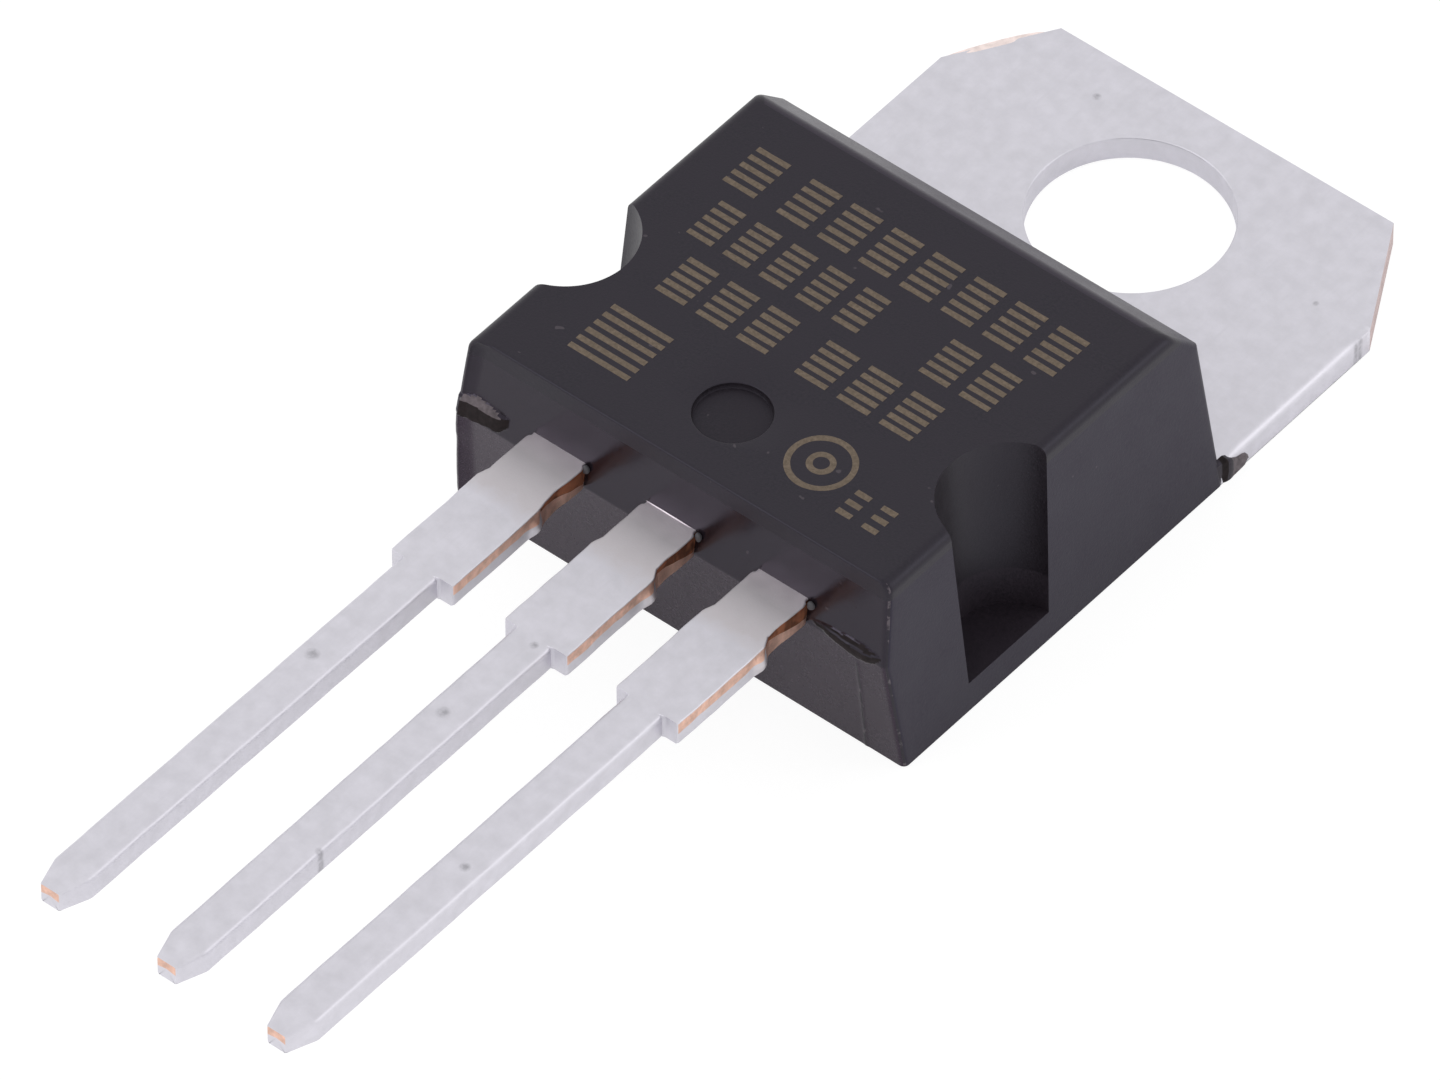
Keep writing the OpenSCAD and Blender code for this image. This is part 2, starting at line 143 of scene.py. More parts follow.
class StripSizes(bpy.types.PropertyGroup):
    """Sizes of the stamped tab and leads."""

    roll: size("Roll-over", "Radius of the rolled-over upper edges", 0.18)
    lead_roll: size("Lead roll-over", "Radius of the upper edges of a lead", 0.1)
    hole_roll: size("Hole roll-over", "Radius of the hole's rounded upper edge", 0.035)
    cut_l: size("Left cut across", "Left corner cut, measured across the tab", 1.18)
    cut_l_along: size("Left cut along", "Left corner cut, measured along the tab", 1.94)
    cut_r: size("Right cut across", "Right corner cut, measured across the tab", 1.31)
    cut_r_along: size("Right cut along", "Right corner cut, measured along the tab", 2.33)
    relief_y: size("Relief", "Distance from the hole's centre to the side reliefs in the case", 3.72)
    relief_x: size("Relief width", "Half the width between the side reliefs", 4.55)
    relief_end: size("Relief end", "Distance from the hole's centre to the end of the reliefs", 4.06)
    slant: size("Slant", "Slant of the shoulders where the tab narrows to the paddle", 0.2)
    paddle: size("Paddle", "Half the width of the paddle", 4.15)
    paddle_end: size("Paddle end", "Distance from the hole's centre to the end of the paddle", 9.5)
    rim: size("Rim", "Width of the coined rim under the paddle", 0.5)
    rim_t: size("Rim depth", "Depth of the coined rim", 0.2)
    bend_w: size("Bend width", "Width of the bend that lifts the middle lead", 1.5)
    bend_run: size("Bend run", "Run of that bend along the case", 1.9)
    neck: size("Neck", "Width of a lead where it leaves the case", 1.22)
    wide: size("Wide part", "Width of the wide part of a lead", 1.4)
    pin: size("Pin", "Width of the narrow part of a lead", 0.82)
    neck_len: size("Neck length", "Length of the neck outside the case", 1.06)
    shoulder: size("Shoulder", "Length along the slanted shoulders", 0.18)
    wide_end: size("Wide end", "Distance from the case to the end of the wide part", 3.63)
    tip_len: size("Tip length", "Length of the tapered tip", 0.6)
    tip_w: size("Tip width", "Width of the flat at the tip", 0.4)
    tip_t: size("Tip thickness", "Thickness of the flat at the tip", 0.42)
    root: size("Root", "Length of a lead's neck inside the case", 0.93)
    post_w: size("Post width", "Width of the bond post of an outer lead", 1.95)
    lock_r: size("Lock hole", "Radius of the resin lock hole in a bond post", 0.35)


class FieldSizes(bpy.types.PropertyGroup):
    """Sizes of the plain laser fields on the front face."""

    stroke: size("Stroke", "Width of a laser stroke", 0.13)
    proud: size("Height", "How far the laser-foamed resin stands up", 0.008)


class Finish(bpy.types.PropertyGroup):
    """Colours of the surfaces."""

    resin: shade("Resin", "Moulded epoxy", (0.0085, 0.006, 0.008))
    # Pale broken resin, made paler as painted light where a flash facet faces up; also the colour of pale
    # specks
    torn: shade("Torn resin", "Pale broken resin", (0.12, 0.1, 0.11))
    tin: shade("Tin", "Matt tin plating", (0.638, 0.625, 0.675))
    copper: shade("Copper", "Bare copper at the cut faces", (0.76, 0.49, 0.39))
    # Copper of the necks' upper sides, darkened as a painted shade of the case
    copper_in_painted_shade: shade("Dark copper", "Tarnished copper near the case", (0.27, 0.105, 0.055))
    laser: shade("Laser", "Laser-marked resin", (0.155, 0.12, 0.09))


class StageLevels(bpy.types.PropertyGroup):
    """Levels of the light."""

    sky: level("Sky", "Strength of the white surroundings", 0.8)
    side_lamp: level("Side lamp", "Power of the soft lamp at the right", 0.09)
    front_lamp: level("Front lamp", "Power of the soft lamp beyond the leads", 0.2)


def smooth(t):
    """Three t squared less two t cubed, with t held between 0 and 1."""
    t = np.clip(t, 0, 1)
    return t * t * (3 - 2 * t)


def waver(x, seed, height, wave):
    """An uneven line: five sine waves with seeded phases, the first of length wave and the others shorter
    by whole numbers, each as high as its length, scaled so that they never reach past height."""
    order = np.arange(1, 6)
    phase = np.random.default_rng(seed).uniform(0, 2 * np.pi, 5)
    waves = np.sin(2 * np.pi * np.asarray(x)[..., None] * order / wave + phase) / order
    return height * waves.sum(-1) / (1 / order).sum()


def along(corners, counts):
    """Points on a chain of straight edges: edge i goes from row i to row i + 1 of corners and gets
    counts[i] equal steps, with both of its ends. Also gives each point's edge."""
    corners = np.asarray(corners, float)
    counts = np.asarray(counts)
    edge = np.repeat(np.arange(len(counts)), counts + 1)
    first = np.repeat(np.cumsum(counts + 1) - counts - 1, counts + 1)
    share = ((np.arange(len(edge)) - first) / counts[edge])[:, None]
    return corners[edge] * (1 - share) + corners[edge + 1] * share, edge


def quads_of(points, ring):
    """Corner numbers of the faces between neighbouring rows of a grid. The columns close on themselves, and
    with ring the rows do too."""
    rows, cols = points.shape[:2]
    index = np.arange(rows * cols).reshape(rows, cols)
    if ring:
        index = np.vstack([index, index[:1]])
    here, over = index[:-1], index[1:]
    return np.stack([here, np.roll(here, -1, 1), np.roll(over, -1, 1), over], -1).reshape(-1, 4)


def outward(points, quads):
    """The faces turned so that the volume that they close, the sum over each face of the corner triple
    products, is above zero."""
    a, b, c, d = (points[quads[:, k]] for k in range(4))
    volume = ((np.cross(b, c) + np.cross(c, d)) * a).sum()
    return quads if volume > 0 else quads[:, ::-1]


def piece(name, shells, finishes):
    """A mesh of closed shells. A shell is a grid of points with a paint number for each face and a flag
    that says whether its rows close in a ring. Equal points are welded, a face with two equal corners
    becomes a triangle, and one with fewer than three is left out."""
    points, quads, paints, start = [], [], [], 0
    for grid, paint, ring in shells:
        flat = grid.reshape(-1, 3)
        quads.append(outward(flat, quads_of(grid, ring)) + start)
        rows = len(grid) if ring else len(grid) - 1
        paints.append(np.broadcast_to(paint, (rows, grid.shape[1])).ravel())
        points.append(flat)
        start += len(flat)
    points, quads, paints = np.concatenate(points), np.concatenate(quads), np.concatenate(paints)
    places = np.round(points / WELD).astype(np.int64)
    _, first, same = np.unique(places, axis=0, return_index=True, return_inverse=True)
    quads = same.ravel()[quads]
    kept = quads != np.roll(quads, -1, 1)
    corners = np.where((quads[:, 0] == quads[:, 2]) | (quads[:, 1] == quads[:, 3]), 0, kept.sum(1))
    four, three = corners == 4, corners == 3
    mesh = bpy.data.meshes.new(name)
    triangles = quads[three][kept[three]].reshape(-1, 3)
    mesh.from_pydata(points[first].tolist(), [], quads[four].tolist() + triangles.tolist())
    for finish in finishes:
        mesh.materials.append(finish)
    paints = np.concatenate([paints[four], paints[three]]).astype(np.int32)
    mesh.polygons.foreach_set("material_index", paints)
    mesh.shade_smooth()
    mesh.set_sharp_from_angle(angle=SHARP)
    mesh.validate()
    made = bpy.data.objects.new(name, mesh)
    bpy.context.scene.collection.objects.link(made)
    even = made.modifiers.new("flat_faces_stay_flat", "WEIGHTED_NORMAL")
    even.keep_sharp = True
    even.weight = 100
    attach(made, BODY)
    return made


def stack(x, y, z):
    """One array of points from three arrays of coordinates that broadcast together."""
    return np.stack(np.broadcast_arrays(x, y, z), -1)


def pole(point, cols):
    """A row of equal points that closes a shell."""
    return np.broadcast_to(np.asarray(point, float), (1, cols, 3))


def capped(rows):
    """A grid closed at both ends by the mean points of its first and last rows."""
    cols = rows.shape[1]
    return np.concatenate([pole(rows[0].mean(0), cols), rows, pole(rows[-1].mean(0), cols)])


def inset(z, top, r):
    """How far a round of radius r at height top has drawn a wall in at height z: r less the root of r
    squared less the square of the height above the round's start."""
    h = np.clip(z - top + r, 0, r)
    return r - np.sqrt(r * r - h * h)


def flash_profile(x, z, half, s):
    """How far the lead end stands out beyond its drafted face at x and z: the bulge of the left corner, a
    torn block of flash beside that corner, a thin torn fin beside the other corner, and a witness line.
    Each flash has its crest at a height of its own, slopes back to the face above it over its rise, and
    drops straight and then undercut below it over its fall. Reach, rise and fall follow the distance from
    the nearer corner by short tables in millimetres, with a little waver. Returns that distance, the share
    of the flash's reach, and the height over its crest."""
    left, right = (x + half) / MM, (half - x) / MM
    bulge_z = [0, 1, 2, 2.2, 2.4, 2.6, 2.9, 3.1, 3.3, 4.3, 4.45]
    bulge = [1.3, 1.35, 1, 1.15, 1.1, 0.95, 0.7, 0.7, 0.75, 0.8, 0.55]
    fin = s.fin * (1 - smooth(left / 0.35)) * np.interp(z / MM, bulge_z, bulge)
    fin = fin + waver(z, 5, 0.012 * MM, 2.4 * MM) * (1 - smooth(left / 0.3))
    reach = np.interp(left, [0, 0.1, 0.4, 0.75, 0.95, 1.02, 1.1], [0.3, 0.85, 0.9, 0.8, 0.6, 0.35, 0])
    reach = reach + np.interp(right, [0.14, 0.22, 0.45, 0.9, 1.2, 1.45, 1.7],
                              [0, 0.3, 0.65, 0.6, 0.4, 0.18, 0])
    rise = np.interp(left, [0, 0.1, 0.4, 0.6, 0.74, 0.88, 0.98], [0.03, 0.06, 0.11, 0.1, 0.07, 0.02, 0.005])
    rise = rise + np.interp(right, [0.14, 0.5, 1.4, 1.7], [0.03, 0.12, 0.045, 0.02])
    fall = np.interp(left, [0, 0.1, 0.6, 0.9, 1.08, 1.13], [0.4, 0.42, 0.42, 0.36, 0.2, 0.05])
    fall = fall + np.interp(right, [0.14, 0.25, 0.5, 0.85, 1.1, 1.4, 1.7],
                            [0.02, 0.12, 0.24, 0.3, 0.2, 0.09, 0.03])
    fall = fall * (1 + waver(x, 8, 0.1, 0.9 * MM))
    rise = rise * (1 + waver(x, 9, 0.15, 0.8 * MM))
    crest = LEVEL + np.where(x < 0, 0.46 * MM, 0.16 * MM) + waver(x, 11, 0.02 * MM, 1.2 * MM)
    above = np.clip(1 - (z - crest) / (rise * MM + 1e-9), 0, 1)
    below = np.clip((1 - (crest - z) / (fall * MM + 1e-9)) * np.where(x < 0, 4, 1.5), 0, 1)
    share = np.where(z > crest, above, below) * reach
    flash = s.flash * share * (1 + waver(x, 12, 0.1, 0.5 * MM))
    witness = np.exp(-((x - WITNESS_X) / (0.03 * MM)) ** 2) * smooth((2.5 * MM - z) / (0.2 * MM))
    return fin + flash + 0.012 * MM * witness, share, z - crest


def flank(half, front, back, cut, z, floor, corner, centre_x, s):
    """One long side of the outline at each height, as x outwards and y: the lead corner's arc, a straight
    stretch, the notch's arc about centre_x (or its chord below the notch's floor), a straight stretch and
    the tab corner's arc."""
    def steps(n):
        return np.linspace(0, 1, n)[None, :]
    tab_r = s.tab_corner_r
    radius = s.notch_floor_r + np.clip((z - floor) / (TOP - floor), 0, 1) * (s.notch_r - s.notch_floor_r)
    opening = np.arccos(np.clip((centre_x - half) / radius, -1, 1))
    chord = radius * np.sin(opening)
    turn = np.pi / 2 * steps(CORNER)
    angle = opening * (2 * steps(NOTCH) - 1)
    fore, aft = front + corner, -s.notch_at + chord
    x = [half - corner + corner * np.sin(turn), half + 0 * steps(FORE_WALL),
         np.where(cut, centre_x - radius * np.cos(angle), half),
         half + 0 * steps(AFT_WALL), half - tab_r + tab_r * np.cos(turn)]
    y = [fore - corner * np.cos(turn), fore + (-s.notch_at - chord - fore) * steps(FORE_WALL),
         -s.notch_at + radius * np.sin(angle), aft + (back - tab_r - aft) * steps(AFT_WALL),
         back - tab_r + tab_r * np.sin(turn)]
    return np.concatenate(x, 1), np.concatenate(y, 1)


def case_grid(s):
    """The moulded case as one closed grid. Each row is the outline at one height: half the width falls with
    the side draft, the lead end leans in above and below the parting line, the tab end leans in and then
    follows the chamfer and its round, and rounds of the front edges draw them in. The whole is then moved
    by the shift and leant by the skew. Rows past the last height close the front face through a rectangle
    and circles down into the round mould mark, and rows before the first close the back."""
    floor = STRIP + s.notch_skin
    bevel_z = TOP - s.chamfer
    low = np.concatenate([[s.sunk, s.foot], np.linspace(s.foot, floor, 7)[1:]])
    round_rows = 12
    high = [np.linspace(floor, 2.2 * MM, 12), np.linspace(2.2 * MM, 3.35 * MM, 47)[1:],
            np.linspace(3.35 * MM, bevel_z, 5)[1:], [bevel_z + 0.03 * MM],
            np.linspace(bevel_z, TOP - s.edge_r, 5)[1:],
            TOP - s.edge_r * (1 - np.sin(np.linspace(0, np.pi / 2, round_rows + 1)[1:]))]
    z = np.concatenate([low, *high])[:, None]
    cut = np.arange(len(z))[:, None] >= len(low)
    foot = np.clip(s.foot - z, 0, None)
    half = s.width / 2 - z * math.tan(s.side_draft) - inset(z, TOP, s.edge_r) - foot
    lean = np.where(z > LEVEL, math.tan(s.lead_draft), math.tan(s.foot_draft))
    front = -s.end + abs(z - LEVEL) * lean + inset(z, TOP, s.lead_edge_r) + foot
    back = -s.start - np.minimum(z, bevel_z) * math.tan(s.tab_draft) - np.clip(z - bevel_z, 0, None) - foot
    slope = math.sqrt(0.5)
    fall = np.clip(TOP - z, 0, s.bevel_r * (1 - slope))
    turned = s.bevel_r * slope - np.sqrt(s.bevel_r ** 2 - (s.bevel_r - fall) ** 2)
    back = back - np.maximum(turned - s.bevel_r * (1 - slope) + fall, 0)
    bulge = flash_profile(-half, z, half, s)[0]
    rx, ry = flank(half, front, back, cut, z, floor, s.corner_r, s.notch_x - s.shift, s)
    lx, ly = flank(half, front - bulge, back, cut, z, floor, s.corner_l_r, s.notch_x + s.shift, s)
    share = [np.linspace(0, 0.13, 37), np.linspace(0.13, 0.8, 60)[1:], np.linspace(0.8, 1, 51)[1:]]
    share = np.concatenate(share)[1:-1][None, :]
    ex = -half + s.corner_l_r + (2 * half - s.corner_l_r - s.corner_r) * share
    out, torn, over_crest = flash_profile(ex, z, half, s)
    tx = (half - s.tab_corner_r) * (1 - 2 * np.linspace(0, 1, 42)[1:-1])[None, :]
    x = np.concatenate([ex, rx, tx, -lx[:, ::-1]], 1)
    y = np.concatenate([front - out, ry, back + 0 * tx, ly[:, ::-1]], 1)
    walls = stack(x + s.shift + math.tan(s.skew) * (y + (s.start + s.end) / 2), y, z)
    cols = walls.shape[1]
    rim = 0.45 * MM
    inner_x, inner_y = s.notch_x - s.notch_r - 0.15 * MM, (front[-1, 0] + rim, back[-1, 0] - rim)

    def framed(row):
        return stack(np.clip(row[:, 0], -inner_x, inner_x), np.clip(row[:, 1], *inner_y), row[:, 2])
    centre = np.array([0, -s.mark_at, TOP])
    frame_row = framed(walls[-1])
    ray = frame_row - centre
    ray = ray / np.linalg.norm(ray, axis=1, keepdims=True)
    lip = 0.025 * MM
    share = np.linspace(0, 1, 6)[1:, None, None]
    rings = frame_row * (1 - share) + (centre + ray * (s.mark_r + lip)) * share
    turn = np.linspace(0, np.pi / 2, 5)[1:, None, None]
    down = np.array([0, 0, -1.0])
    over = centre + ray * (s.mark_r + lip - lip * np.sin(turn)) + down * lip * (1 - np.cos(turn))
    hollow = centre + down * s.mark_depth
    bowl = np.stack([hollow - down * lip + ray * (s.mark_r - 0.01 * MM),
                     hollow + ray * (s.mark_r - 0.03 * MM), hollow + ray * s.mark_r * 0.5])
    hem = walls[-1] * 0.88 + frame_row * 0.12
    grid = np.concatenate([pole((0, -s.notch_at * 0.85, s.sunk), cols), framed(walls[0])[None], walls,
                           hem[None], frame_row[None], rings, over, bowl, pole(hollow, cols)])
    # Row 2 of the paints is the first strip of the wall; upright is the wall below the round of the front
    paint = np.full((len(grid) - 1, cols), SKIN)
    ends, tab_start = ex.shape[1], ex.shape[1] + FLANK
    left_start = tab_start + tx.shape[1]
    wall, upright = slice(2, len(z) + 1), slice(2, len(z) - round_rows)
    # The sides get a copy of the resin with a painted sheen
    paint[upright, [*range(ends + 5, tab_start), *range(left_start, cols)]] = SIDE
    # The lead end is glossier above the parting line; below it the lower end gets a copy with a painted sheen
    end_face = np.where(z[1:-1 - round_rows] > LEVEL, POLISHED, LOWER_END)
    paint[upright, [*range(ends + 3), *range(cols - 3, cols)]] = end_face
    # The middle of the right lead corner's arc gets pale specks, painted glints along the edge
    paint[wall, ends + 3:ends + 5] = PAINTED_GLINTS
    bevel_rows = np.flatnonzero(z[:-1, 0] > bevel_z - WELD) + 2
    # The chamfer gets a copy with a stronger, painted sheen
    paint[bevel_rows, tab_start:left_start] = CHAMFER
    right_notch, left_notch = ends + CORNER + FORE_WALL, left_start + CORNER + AFT_WALL
    notches = [*range(right_notch, right_notch + NOTCH - 1), *range(left_notch, left_notch + NOTCH - 1)]
    paint[len(low) + 1:len(z) - round_rows, notches] = SKIN
    # The notch floors and lowest notch walls get resin lifted to a lighter tone, a painted light in their
    # shade
    paint[len(low) + 1:len(low) + 8, notches] = PAINTED_LIGHT
    # Painted glints along the witness line on the lower lead end
    paint[wall, :ends][(abs(ex - 4.15 * MM) < 0.02 * MM)[1:] & (z[1:] < 2.4 * MM)] = PAINTED_GLINTS
    broken = np.zeros((len(z), cols), bool)
    broken[:, :ends] = torn > 0.04
    crest = np.zeros((len(z), cols))
    crest[:, :ends] = over_crest
    # Where a flash is broken: below its crest dark torn resin, partly a painted shade under the flash; above
    # the left crest pale torn resin, partly painted light on its up-facing facet; above the right crest dark
    # again as a painted shadow, with the plain skin along the crest
    right_flash = np.where(crest > 0.015 * MM, SHADED, SKIN)
    facet = np.where(crest < -0.02 * MM, SHADED, np.where(x < 0, TORN, right_flash))
    paint[wall] = np.where(broken[:-1] & broken[1:], facet[:-1], paint[wall])
    paint[-3:] = MATT
    return grid, paint


def ear_grid(side):
    """The small ear of resin beside the tab: a section with a slanting top, carried along the tab. It fills
    the corner between case and tab, and then runs out as a thin film on the tab's side. Its outer wall,
    its heights and its hidden inner wall follow short tables in millimetres, with a little waver. Returns
    the grid and the paint, which is paler on the film, lifted to a lighter tone as painted light beside
    it, and dark as painted shade in the slit beside the case."""
    y = [2.93, 2.97, 3.05, 3.15, 3.3, 3.42, 3.52, 3.6, 3.66, 3.72, 3.85]
    tables = ([5.052, 5.075, 5.1, 5.11, 5.11, 5.115, 5.12, 5.105, 5.085, 5.065, 5.05],
              [0.12, 0.22, 0.3, 0.33, 0.38, 0.45, 0.54, 0.58, 0.58, 0.58, 0.58],
              [5.03, 5.0, 4.99, 4.98, 5.0, 4.99, 4.96, 4.95, 4.95, 4.95, 4.95])
    fine = np.linspace(y[0], y[-1], 38)
    wall, high, inner = (np.interp(fine, y, table) * MM for table in tables)
    crest = high + 0.01 * MM
    wall = wall + waver(fine, 21 + side, 0.01 * MM, 0.7) + (0.03 * MM if side < 0 else 0)
    high = high + waver(fine, 31 + side, 0.02 * MM, 0.8)
    x = [inner, inner, wall - 0.16 * MM, wall - 0.05 * MM, wall - 0.01 * MM, wall, wall - 0.03 * MM]
    x = np.maximum(np.stack(x, 1), inner[:, None])
    low = 0.005 * MM + 0 * high
    slant = np.maximum(crest * 0.7 + high * 0.3, high)
    z = np.stack([low, crest, slant, high, high - 0.04 * MM, high * 0.5, low], 1)
    grid = capped(stack(side * x, -fine[:, None] * MM, z))
    far = np.concatenate([[0], fine])[:, None] + np.zeros(x.shape[1])
    # Pale film, then lifted resin as painted light, then painted shade in the slit beside the case
    return grid, np.where(far < 3.45, TORN, np.where((far < 3.56) | (far > 3.69), PAINTED_LIGHT, SHADED))


def plate_grid(outer, inner, counts, rolls, rim_t, low, centre, hole_r, hole_roll):
    """A flat plate with a round hole, as a surface in the form of a ring. One direction runs round the
    outline, the other round the section: up the hole's wall, along the back to the inner outline, up the
    coined rim, out and up the side, over the rolled edge, which fades out at the corners, and back along
    the top. Returns the grid and each column's edge of the outline."""
    outer = np.asarray(outer, float)
    o, edge = along(outer, counts)
    i, _ = along(inner, counts)
    corner = np.minimum(*(np.linalg.norm(o - outer[edge + k], axis=1) for k in (0, 1)))
    roll = (np.asarray(rolls, float)[edge] * smooth(corner / (0.6 * MM)))[:, None]
    step = np.diff(outer, axis=0)[edge]
    run = np.maximum(np.linalg.norm(step, axis=1, keepdims=True), WELD)
    normal = np.stack([-step[:, 1], step[:, 0]], 1) / run
    outwards = ((o - outer[:-1].mean(0)) * normal).sum(1, keepdims=True) > 0
    normal = np.where(outwards, normal, -normal)
    ray = (o - centre) / np.linalg.norm(o - centre, axis=1, keepdims=True)
    rimmed = (np.abs(o - i).sum(1) > 1e-9)[:, None]
    rise = np.where(rimmed, rim_t, 0)
    foot = np.where(rimmed, 0, roll * 0.06)

    def at(flat, z):
        return np.concatenate([flat, np.broadcast_to(z, (len(flat), 1))], 1)
    top = low + STRIP
    bevel = 0.02 * MM
    rows = [at(centre + ray * hole_r, low + bevel), at(centre + ray * (hole_r + bevel), low),
            at(i, low), at(i, low + rise), at(o - normal * foot, low + rise), at(o, low + rise + foot),
            at(o, low + np.maximum(rim_t, foot))]
    for turn in np.linspace(0, np.pi / 2, 8):
        rows.append(at(o - normal * roll * (1 - math.cos(turn)), top - roll + roll * math.sin(turn)))
    last = rows[-1][:, :2]
    rows.append(at(last * 0.93 + (centre + ray * hole_r) * 0.07, top))
    for turn in np.linspace(0, np.pi / 2, 7):
        drawn = hole_roll * (1 - math.sin(turn))
        rows.append(at(centre + ray * (hole_r + drawn), top - hole_roll * (1 - math.cos(turn))))
    rows.append(at(centre + ray * hole_r, low + STRIP / 2))
    return np.stack(rows), edge


def tab_grid(s):
    """The tab and paddle: their outline from the free end's right cut round to the left side, with the
    coined rim's inner outline beside it. Returns the grid and the paint, which is copper on the two
    corner cuts."""
    w, e, r, p = TAB_HIGH.x, TAB_HIGH.y, s.relief_x, s.paddle
    neck = -s.relief_end - s.slant
    foot = neck - s.slant
    half = [(w - s.cut_r, e), (w, e - s.cut_r_along), (w, -s.relief_y), (r, -s.relief_y), (r, -s.relief_end),
            (p, neck), (p, foot), (p, foot), (p, -s.paddle_end)]
    half_in = half[:7] + [(p - s.rim, foot), (p - s.rim, -s.paddle_end + s.rim)]
    left = [(-x, y) for x, y in half[::-1]]
    left_in = [(-x, y) for x, y in half_in[::-1]]
    left_w = w + 0.027 * MM
    left = [(-left_w if x < 0.01 * MM - w else x, y) for x, y in left]
    left[-2:] = left_in[-2:] = [(-left_w, e - s.cut_l_along), (s.cut_l - w, e)]
    counts = [20, 36, 3, 4, 2, 2, 1, 24, 48, 24, 1, 2, 2, 4, 3, 36, 20, 64]
    cut_edges = (0, 16)
    rolls = [0, s.roll] + [0] * 16
    grid, edge = plate_grid(half + left + half[:1], half_in + left_in + half_in[:1], np.array(counts), rolls,
                            s.rim_t, 0.0, np.zeros(2), HOLE_R, s.hole_roll)
    paint = np.zeros(grid.shape[:2], int)
    cuts = np.isin(edge, cut_edges)
    paint[4:14] = np.where(cuts & (np.roll(edge, -1) == edge), CUT, TIN)
    return grid, paint


def bend_grid(s, end):
    """The hidden bend: a rectangle carried along the kinked line from the paddle up to the middle lead,
    with its section mitred at each kink. It is a little slimmer than the strip, which hides its ends."""
    slimmer = 0.98
    y0 = -s.paddle_end
    y1 = y0 - s.bend_run
    line = np.array([(y0 + s.rim, STRIP / 2), (y0, STRIP / 2), (y1, LEVEL + STRIP / 2),
                     (0.2 * MM - end, LEVEL + STRIP / 2)])
    step = np.diff(line, axis=0)
    step = step / np.linalg.norm(step, axis=1, keepdims=True)
    normal = np.stack([step[:, 1], -step[:, 0]], 1)
    joint = np.concatenate([normal[:1], normal[:-1] + normal[1:], normal[-1:]])
    joint = joint / (joint * np.concatenate([normal[:1], normal])).sum(1, keepdims=True)
    half = np.array([s.bend_w, s.bend_w, s.bend_w, s.neck])[:, None] / 2 * slimmer
    x = np.array([-1, 1, 1, -1]) * half
    off = np.array([-1, -1, 1, 1]) * STRIP / 2 * slimmer
    yz = line[:, None] + joint[:, None] * off[None, :, None]
    return capped(stack(x, yz[..., 0], yz[..., 1]))


